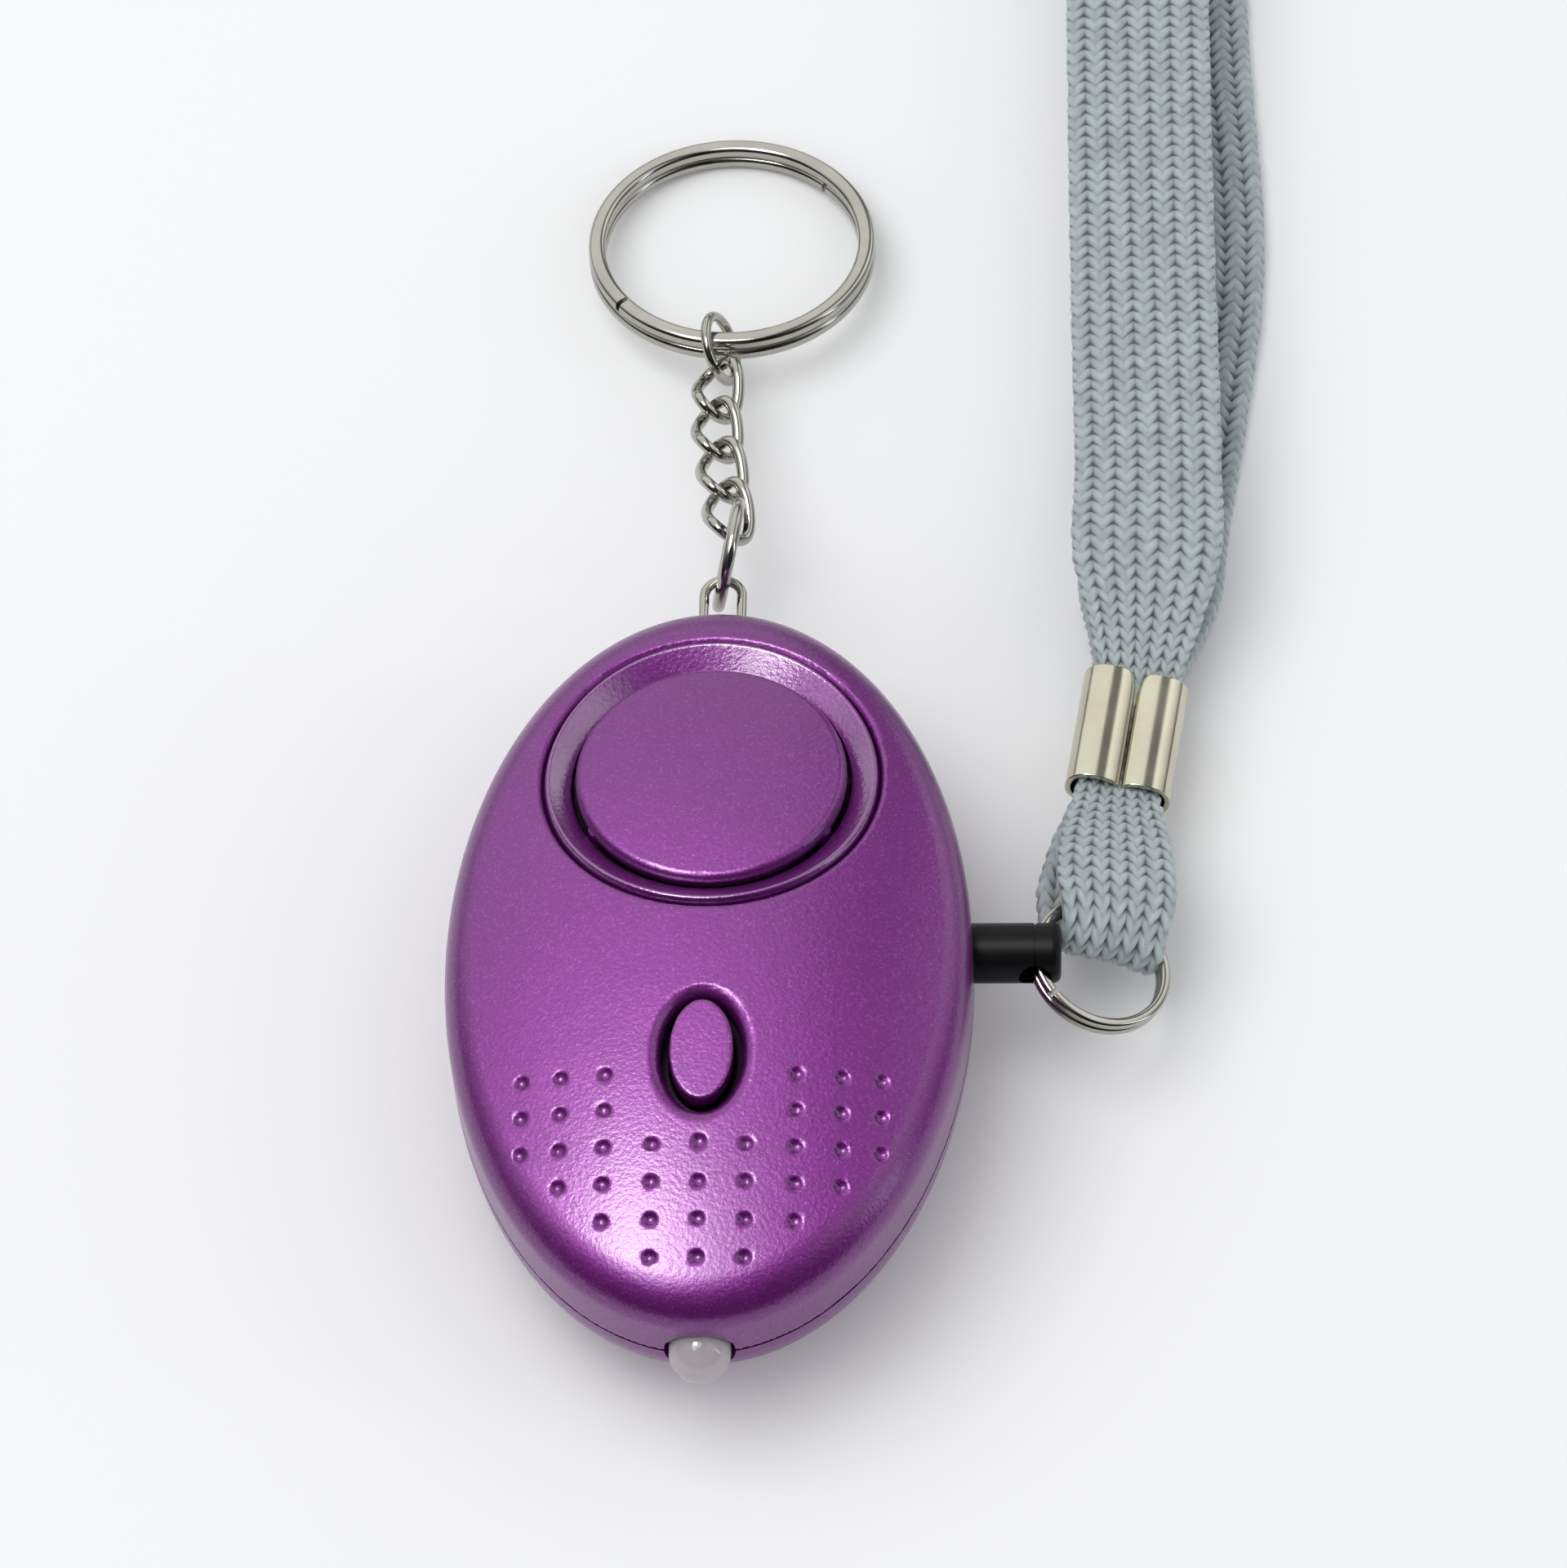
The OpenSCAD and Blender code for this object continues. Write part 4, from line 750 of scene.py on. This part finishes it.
class ALARM_OT_crimp(bpy.types.Operator):
    """Folds the crimp from sheet: two lobes that meet in a seam on top"""
    bl_idname = "alarm.crimp"
    bl_label = "Strap crimp"

    def execute(self, context):
        outline = [(-x, y) for x, y in CRIMP_HALF] + list(CRIMP_HALF[-2::-1])
        centre = Vector(CRIMP_CENTRE)
        turn = (Matrix.Rotation(math.radians(CRIMP_HEADING), 4, "Z")
                @ Matrix.Rotation(math.radians(CRIMP_ROLL), 4, "Y")
                @ Matrix.Rotation(math.radians(90), 4, "X"))
        verts = []
        for z in CRIMP_STATIONS:
            opening = max(0.0, (-z - SEAM_START) / SEAM_STRETCH) * SEAM_OPENING
            for x, y in outline:
                near = max(0.0, 1 - abs(x)) if y > 0 else 0.0
                x = x + math.copysign(opening * near, x if x else 1)
                verts.append(tuple((turn @ Vector((x, y, z)) + centre) * MM))
        n = len(outline)
        faces = [(j * n + i, j * n + i + 1, (j + 1) * n + i + 1, (j + 1) * n + i)
                 for j in range(len(CRIMP_STATIONS) - 1) for i in range(n - 1)]
        obj = new_piece("strap_crimp_folded", verts, faces)
        middle = centre * MM
        outward = [(p.center - middle).dot(p.normal) > 0 for p in obj.data.polygons]
        if 2 * sum(outward) < len(outward):
            obj.data.flip_normals()
        apply_modifier(obj, "SOLIDIFY", thickness=sizes().crimp_wall, offset=-1.0,
                       use_even_offset=True)
        apply_modifier(obj, "SUBSURF", levels=2, render_levels=2)
        smooth(obj)
        plate = metal_material("crimp_finish", tuple(colours().crimp), PLATE_ROUGHNESS)
        finish_piece(obj, plate, "strap", "nickel_plate", "strap_crimp")
        return {"FINISHED"}


# Shell, bezel and button

Egg = namedtuple("Egg", "half_w stretch top dome_edge shoulder_z")


def egg_shape():
    """Outline values of the upper shell in millimetres."""
    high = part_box("upper_shell")[1]
    half_w, half_l, top = high.x / MM, high.y / MM, high.z / MM
    side = half_w - SHOULDER_R
    dome_edge = side * DOME_R / (DOME_R - SHOULDER_R)
    shoulder_z = top - DOME_R + math.sqrt((DOME_R - SHOULDER_R) ** 2 - side**2)
    return Egg(half_w, half_l / half_w, top, dome_edge, shoulder_z)


def snap_to_egg(co, reach):
    """Moves points that lie close to the egg's outer surface exactly onto it."""
    egg = egg_shape()
    side, base = egg.half_w - SHOULDER_R, egg.top - DOME_R
    r = np.hypot(co[:, 0], co[:, 1] / egg.stretch)
    z = co[:, 2]
    in_wall = z < egg.shoulder_z
    in_dome = ~in_wall & ((r - side) * (egg.shoulder_z - base) < (z - egg.shoulder_z) * side)
    from_r = np.where(in_dome, 0.0, side)
    from_z = np.where(in_dome, base, egg.shoulder_z)
    radius = np.where(in_dome, DOME_R, SHOULDER_R)
    dr, dz = r - from_r, np.where(in_wall, 0.0, z - from_z)
    dist = np.maximum(np.hypot(dr, dz), TINY)
    near = np.abs(dist - radius) < reach
    new_r = from_r + dr * radius / dist
    new_z = np.where(in_wall, z, from_z + dz * radius / dist)
    k = np.where(near, new_r / np.maximum(r, TINY), 1.0)
    out = co.copy()
    out[:, 0] *= k
    out[:, 1] *= k
    out[:, 2] = np.where(near, new_z, z)
    return out


def dome_height(x, y):
    """Height of the egg's dome over a place, in millimetres."""
    egg = egg_shape()
    r = np.minimum(np.hypot(x, y / egg.stretch), egg.dome_edge)
    return egg.top - DOME_R + np.sqrt(DOME_R**2 - r**2)


def mark_depth(obj, proud=0.0):
    """Stores how far each point lies below the dome, in millimetres, for the paint's painted shade
    in deep gaps.
    """
    co = get_points(obj) / MM
    x, y, z = co.T
    deep = np.clip(dome_height(x, y) + proud - z, 0, DEEPEST)
    deep = np.where(np.hypot(x, y / egg_shape().stretch) > DOME_REACH, 0.0, deep)
    mark_points(obj, "depth", deep)


def lip_drop(distance, radius):
    """How far a rounded lip falls below the dome at a distance from the hole's edge."""
    t = np.clip(1 - distance / radius, 0, 1)
    return radius * (1 - np.sqrt(1 - LIP_STEEPNESS * t**2))


def round_lips(co):
    """Lowers the shell round the button hole and the bezel into soft lips."""
    x, y, z = co.T
    from_button = y - BUTTON_Y
    q = np.maximum(np.hypot(x / HOLE_HALF_X, from_button / HOLE_HALF_Y), TINY)
    slope = np.hypot(x / HOLE_HALF_X**2, from_button / HOLE_HALF_Y**2) / q
    to_button = np.where(q > HOLE_EDGE, (q - 1) / slope, FAR_AWAY)
    to_rim = np.hypot(x, (y - SIREN_Y) / math.cos(math.radians(SIREN_TILT))) - RIM_R
    to_rim = np.where(to_rim > RIM_EDGE, to_rim, FAR_AWAY)
    drop = np.maximum(lip_drop(np.maximum(to_button, 0), sizes().button_lip / MM),
                      lip_drop(np.maximum(to_rim, 0), sizes().rim_lip / MM))
    limit = dome_height(x, y) - drop
    out = co.copy()
    # The hole's wall is drawn in a little, so that the gap round the button is narrow
    draw = 1 - HOLE_DRAW * np.clip((DRAW_FROM - q) / DRAW_OVER, 0, 1)
    out[:, 0] = x * draw
    out[:, 1] = BUTTON_Y + from_button * draw
    out[:, 2] = np.where((drop > LEAST_DROP) & (z > limit), limit, z)
    return out


def thin_inside(obj):
    """Takes faces out of the shell's inner wall, which nobody sees."""
    egg = egg_shape()
    x, y, z = (get_points(obj) / MM).T
    inner = ((egg.half_w - np.hypot(x, y / egg.stretch) > INNER_DEPTH)
             & (dome_height(x, y) - z > INNER_DEPTH))
    group = obj.vertex_groups.new(name="inside")
    group.add(np.flatnonzero(inner).tolist(), 1.0, "REPLACE")
    apply_modifier(obj, "DECIMATE", ratio=INNER_SHARE, vertex_group="inside")
    obj.vertex_groups.clear()


class ALARM_OT_upper_shell(bpy.types.Operator):
    """Gives the upper shell a moulded skin with soft lips and dimples"""
    bl_idname = "alarm.upper_shell"
    bl_label = "Upper shell"

    def execute(self, context):
        obj = merged_copy("upper_shell", "upper_shell_skin")
        voxel = sizes().shell_voxel
        remesh(obj, voxel)
        set_points(obj, round_lips(get_points(obj) / MM) * MM)
        remesh(obj, voxel)
        apply_modifier(obj, "SMOOTH", factor=0.5, iterations=2)
        set_points(obj, snap_to_egg(get_points(obj) / MM, SNAP_REACH) * MM)
        thin_inside(obj)
        smooth(obj)
        # The depth below the dome drives the paint's painted shade in the button hole's gap.
        mark_depth(obj)
        finish_piece(obj, paint_material(), "case", "purple_paint", "upper_shell")
        return {"FINISHED"}


def broaden_bevel(obj):
    """Moves the bezel's crest out along the dome, so that the inner bevel is broad and shallow."""
    egg = egg_shape()
    siren_z = egg.top - DOME_R + math.sqrt(DOME_R**2 - (SIREN_Y / egg.stretch) ** 2)
    c, s = math.cos(math.radians(SIREN_TILT)), math.sin(math.radians(SIREN_TILT))
    co = get_points(obj) / MM
    y, z = co[:, 1] - SIREN_Y, co[:, 2] - siren_z
    x, v, h = co[:, 0], y * c - z * s, y * s + z * c

    def level(x, v):
        return (dome_height(x, SIREN_Y + v * c) - siren_z + v * s) * c

    r = np.hypot(x, v)
    off = h - level(x, v)
    crest = (r > CREST_FROM) & (r < CREST_TO) & (off > -CREST_DEPTH)
    grow = np.where(crest, (r + CREST_SHIFT) / r, 1.0)
    x, v = x * grow, v * grow
    h = np.where(crest, level(x, v) + off, h)
    moved = np.stack([x, v * c + h * s + SIREN_Y, -v * s + h * c + siren_z], axis=-1)
    set_points(obj, moved * MM)


class ALARM_OT_bezel(bpy.types.Operator):
    """Broadens the bevel of the siren's bezel and smooths it"""
    bl_idname = "alarm.bezel"
    bl_label = "Siren bezel"

    def execute(self, context):
        obj = merged_copy("siren_bezel", "siren_bezel_smooth")
        make_quads(obj)
        broaden_bevel(obj)
        smooth(obj, EDGE_ANGLE)
        gloss = paint_material("bezel_paint_finish", coat=1.0, ior=2.1, haze=0.18)
        finish_piece(obj, gloss, "case", "purple_paint", "siren_bezel")
        return {"FINISHED"}


class ALARM_OT_button(bpy.types.Operator):
    """Rounds the push button's edge"""
    bl_idname = "alarm.button"
    bl_label = "Push button"

    def execute(self, context):
        obj = merged_copy("light_button", "light_button_round")
        remesh(obj, sizes().button_voxel)
        apply_modifier(obj, "SMOOTH", factor=0.5, iterations=12)
        co = get_points(obj)
        middle = BUTTON_Y * MM
        co[:, 0] *= BUTTON_GROW_X
        co[:, 1] = middle + (co[:, 1] - middle) * BUTTON_GROW_Y
        set_points(obj, co)
        smooth(obj)
        # The button's sides below its top get the paint's painted shade too.
        mark_depth(obj, BUTTON_PROUD)
        finish_piece(obj, paint_material(), "button", "purple_paint", "light_button")
        return {"FINISHED"}


# Chain

class ALARM_OT_links(bpy.types.Operator):
    """Rounds the wire of the four curb links"""
    bl_idname = "alarm.links"
    bl_label = "Curb links"

    def execute(self, context):
        for i in range(1, 5):
            obj = merged_copy(f"curb_link_{i}", f"curb_link_{i}_round")
            make_quads(obj)
            apply_modifier(obj, "SUBSURF", levels=2, render_levels=2)
            apply_modifier(obj, "DISPLACE", strength=LINK_SWELL, mid_level=0.0)
            smooth(obj)
            finish_piece(obj, nickel_material(), f"link_{i}", "nickel_plate", f"curb_link_{i}")
        return {"FINISHED"}


def rounded(value):
    """A cosine or sine made squarer, for wire with flattened sides."""
    return math.copysign(abs(value) ** WIRE_ROUNDING, value)


def split_ring(name, centre, turn, mid, wire, pitch, cuts):
    """A two-turn ring: each turn a rounded wire swept round, with a gap where its end shows."""
    verts, faces = [], []
    open_angle = END_GAP / mid
    for level, gap in zip((0.5, -0.5), cuts):
        base = len(verts)
        for i in range(RING_STEPS + 1):
            a = math.radians(gap) + open_angle + (2 * math.pi - 2 * open_angle) * i / RING_STEPS
            for k in range(WIRE_STEPS):
                b = 2 * math.pi * k / WIRE_STEPS
                r = mid + wire / 2 * rounded(math.cos(b))
                z = level * pitch + pitch / 2 * rounded(math.sin(b)) * TURN_CONTACT
                spot = turn @ Vector((r * math.cos(a), r * math.sin(a), z))
                verts.append(tuple((Vector(centre) + spot) * MM))
        for i in range(RING_STEPS):
            here = base + i * WIRE_STEPS
            for k in range(WIRE_STEPS):
                n = (k + 1) % WIRE_STEPS
                faces.append((here + k, here + WIRE_STEPS + k, here + WIRE_STEPS + n, here + n))
        last = base + RING_STEPS * WIRE_STEPS
        faces.append(tuple(base + k for k in range(WIRE_STEPS)))
        faces.append(tuple(last + k for k in reversed(range(WIRE_STEPS))))
    obj = new_piece(name, verts, faces)
    edit_all(obj, bpy.ops.mesh.normals_make_consistent, inside=False)
    smooth(obj, EDGE_ANGLE)
    return obj


class ALARM_OT_rings(bpy.types.Operator):
    """Winds the key ring and the strap ring from rounded wire"""
    bl_idname = "alarm.rings"
    bl_label = "Split rings"

    def execute(self, context):
        metal = nickel_material()
        lie = (Matrix.Rotation(math.radians(-2.9), 3, "Z")
               @ Matrix.Rotation(math.radians(-7.847), 3, "X"))
        key = split_ring("key_ring_wound", centre=(-0.638, 80.68, 2.918), turn=lie,
                         mid=11.85, wire=1.5, pitch=KEY_TURN, cuts=(222, 48))
        finish_piece(key, metal, "keys", "nickel_plate", "key_ring")
        hang = Matrix.Rotation(math.radians(22), 3, "Y")
        strap = split_ring("strap_ring_wound", centre=(31.7139, 3.3, 7.8928), turn=hang,
                           mid=5.625, wire=0.9, pitch=0.85, cuts=(222, 40))
        finish_piece(strap, metal, "strap_ring_body", "nickel_plate", "strap_ring")
        return {"FINISHED"}


# Finishes of the CAD nodes that stay

class ALARM_OT_finishes(bpy.types.Operator):
    """Gives every CAD node that stays its finish"""
    bl_idname = "alarm.finishes"
    bl_label = "Finishes"

    def execute(self, context):
        dress(NICKEL_NODES, nickel_material())
        for finish, colour, roughness, nodes in METALS:
            dress(nodes, metal_material(finish, colour, roughness))
        for finish, colour, roughness, nodes in PLASTICS:
            dress(nodes, plastic_material(finish, colour, roughness))
        dress(("pull_pin",), plastic_material(
            "pin_finish", (0.003, 0.0035, 0.0045), 0.40, depth=0.00002, fine=5000.0,
            Specular_IOR_Level=0.14))
        dress(("rear_cover", "siren_cap"), paint_material())
        dress(("lamp_bulb",), resin_material())
        return {"FINISHED"}


# Studio

def area_light(name, way, distance, size, power, colour=(1, 1, 1)):
    """A rectangular lamp that shines on the object from a direction."""
    data = bpy.data.lights.new(name, "AREA")
    data.shape = "RECTANGLE"
    data.size, data.size_y = size
    data.energy = power
    data.color = colour
    obj = bpy.data.objects.new(name, data)
    bpy.context.scene.collection.objects.link(obj)
    offset = Vector(way).normalized() * distance
    obj.location = Vector(STUDIO_CENTRE) + offset
    obj.rotation_mode = "QUATERNION"
    obj.rotation_quaternion = (-offset).to_track_quat("-Z", "Y")
    return obj


def floor_material():
    """Plain matt floor without gloss."""
    return start_material("studio_floor", colours().floor, 0.9, Specular_IOR_Level=0.0)[0]


def studio_world():
    """A pale room; reflections see it darker towards the camera, low down and beside a flag."""
    world = bpy.data.worlds.new("studio_world")
    world.use_nodes = True
    tree = world.node_tree
    back = tree.nodes["Background"]
    place = node(tree, "ShaderNodeTexCoord", (-1200, 0))
    split = node(tree, "ShaderNodeSeparateXYZ", (-1000, 0))
    link(tree, place.outputs["Generated"], split.inputs["Vector"])
    x, y, z = (split.outputs[axis] for axis in "XYZ")
    fill = sizes().fill_light
    near, even = (map_range(tree, (-800, -150), y, start=-0.40, end=0.10, low=low, high=high,
                            kind="SMOOTHSTEP")
                  for low, high in ((0.06, 1.0), (fill * 1.25, fill)))
    far = map_range(tree, (-800, -400), y, start=0.25, end=0.60, kind="SMOOTHSTEP")
    walls = ramp(tree, (-800, 150), z, greys(ROOM_WALLS))
    room = mix(tree, (-620, 0), far, walls, FAR_ROOM, data_type="FLOAT")
    skirt = map_range(tree, (-800, -900), z, start=0.0, end=0.30, low=0.18, kind="SMOOTHSTEP")
    flag = ramp(tree, (-800, -650), x, greys(ROOM_FLAG))
    mirror = multiply(tree, (-620, -500), room, skirt)
    mirror = multiply(tree, (-560, -200), mirror, flag)
    mirror = multiply(tree, (-450, 0), mirror, near)
    path = node(tree, "ShaderNodeLightPath", (-450, 300)).outputs
    mixed = mix(tree, (-200, 0), path["Is Glossy Ray"], even, mirror, data_type="FLOAT")
    seen = mix(tree, (-50, 0), path["Is Camera Ray"], mixed, SEEN_ROOM, data_type="FLOAT")
    back.inputs["Color"].default_value = (1.0, 1.0, 1.0, 1.0)
    link(tree, seen, back.inputs["Strength"])
    return world


class ALARM_OT_stage(bpy.types.Operator):
    """Builds the pale floor and the soft studio light"""
    bl_idname = "alarm.stage"
    bl_label = "Studio"

    def execute(self, context):
        bpy.ops.object.select_all(action="DESELECT")
        bpy.ops.mesh.primitive_plane_add(size=6.0, location=(0, 0, -0.00002))
        floor = bpy.context.object
        floor.name = "studio_floor"
        floor.data.materials.append(floor_material())
        scene = bpy.context.scene
        scene.world = studio_world()
        soft = area_light("key_soft", way=(-0.38, 0.08, 0.92), distance=1.0, size=(0.8, 0.8),
                          power=sizes().key_light)
        soft.visible_glossy = False
        for name, way, size, share in GLEAM_BOXES:
            box = area_light(name, way, LAMP_DISTANCE, size, sizes().gleam_light * share)
            box.visible_diffuse = False
        area_light("strip_right", way=(0.95, -0.12, 0.33), distance=LAMP_DISTANCE,
                   size=(0.10, 0.45), power=sizes().strip_light, colour=(0.86, 0.93, 1.0))
        scene.view_settings.view_transform = "Standard"
        return {"FINISHED"}


class ALARM_PT_panel(bpy.types.Panel):
    """Lists the sizes, the colours and the steps that build the alarm's looks"""
    bl_idname = "ALARM_PT_panel"
    bl_label = "Personal safety alarm"
    bl_space_type = "VIEW_3D"
    bl_region_type = "UI"
    bl_category = "Alarm"

    def draw(self, context):
        for group in (context.scene.alarm_sizes, context.scene.alarm_colours):
            for name in group.bl_rna.properties.keys():
                if name not in {"rna_type", "name"}:
                    self.layout.prop(group, name)
        for operator in STEPS:
            self.layout.operator(operator.bl_idname)


STEPS = (ALARM_OT_camera, ALARM_OT_crimp, ALARM_OT_strap, ALARM_OT_upper_shell, ALARM_OT_bezel,
         ALARM_OT_button, ALARM_OT_links, ALARM_OT_rings, ALARM_OT_finishes, ALARM_OT_stage)
CLASSES = (AlarmSizes, AlarmColours, *STEPS, ALARM_PT_panel)


def register():
    for made in CLASSES:
        bpy.utils.register_class(made)
    bpy.types.Scene.alarm_sizes = bpy.props.PointerProperty(type=AlarmSizes)
    bpy.types.Scene.alarm_colours = bpy.props.PointerProperty(type=AlarmColours)


def unregister():
    del bpy.types.Scene.alarm_sizes
    del bpy.types.Scene.alarm_colours
    for made in reversed(CLASSES):
        bpy.utils.unregister_class(made)


def main():
    register()
    bpy.ops.alarm.camera()
    bpy.ops.alarm.crimp()
    bpy.ops.alarm.strap()
    bpy.ops.alarm.upper_shell()
    bpy.ops.alarm.bezel()
    bpy.ops.alarm.button()
    bpy.ops.alarm.links()
    bpy.ops.alarm.rings()
    bpy.ops.alarm.finishes()
    bpy.ops.alarm.stage()


if __name__ == "__main__":
    main()
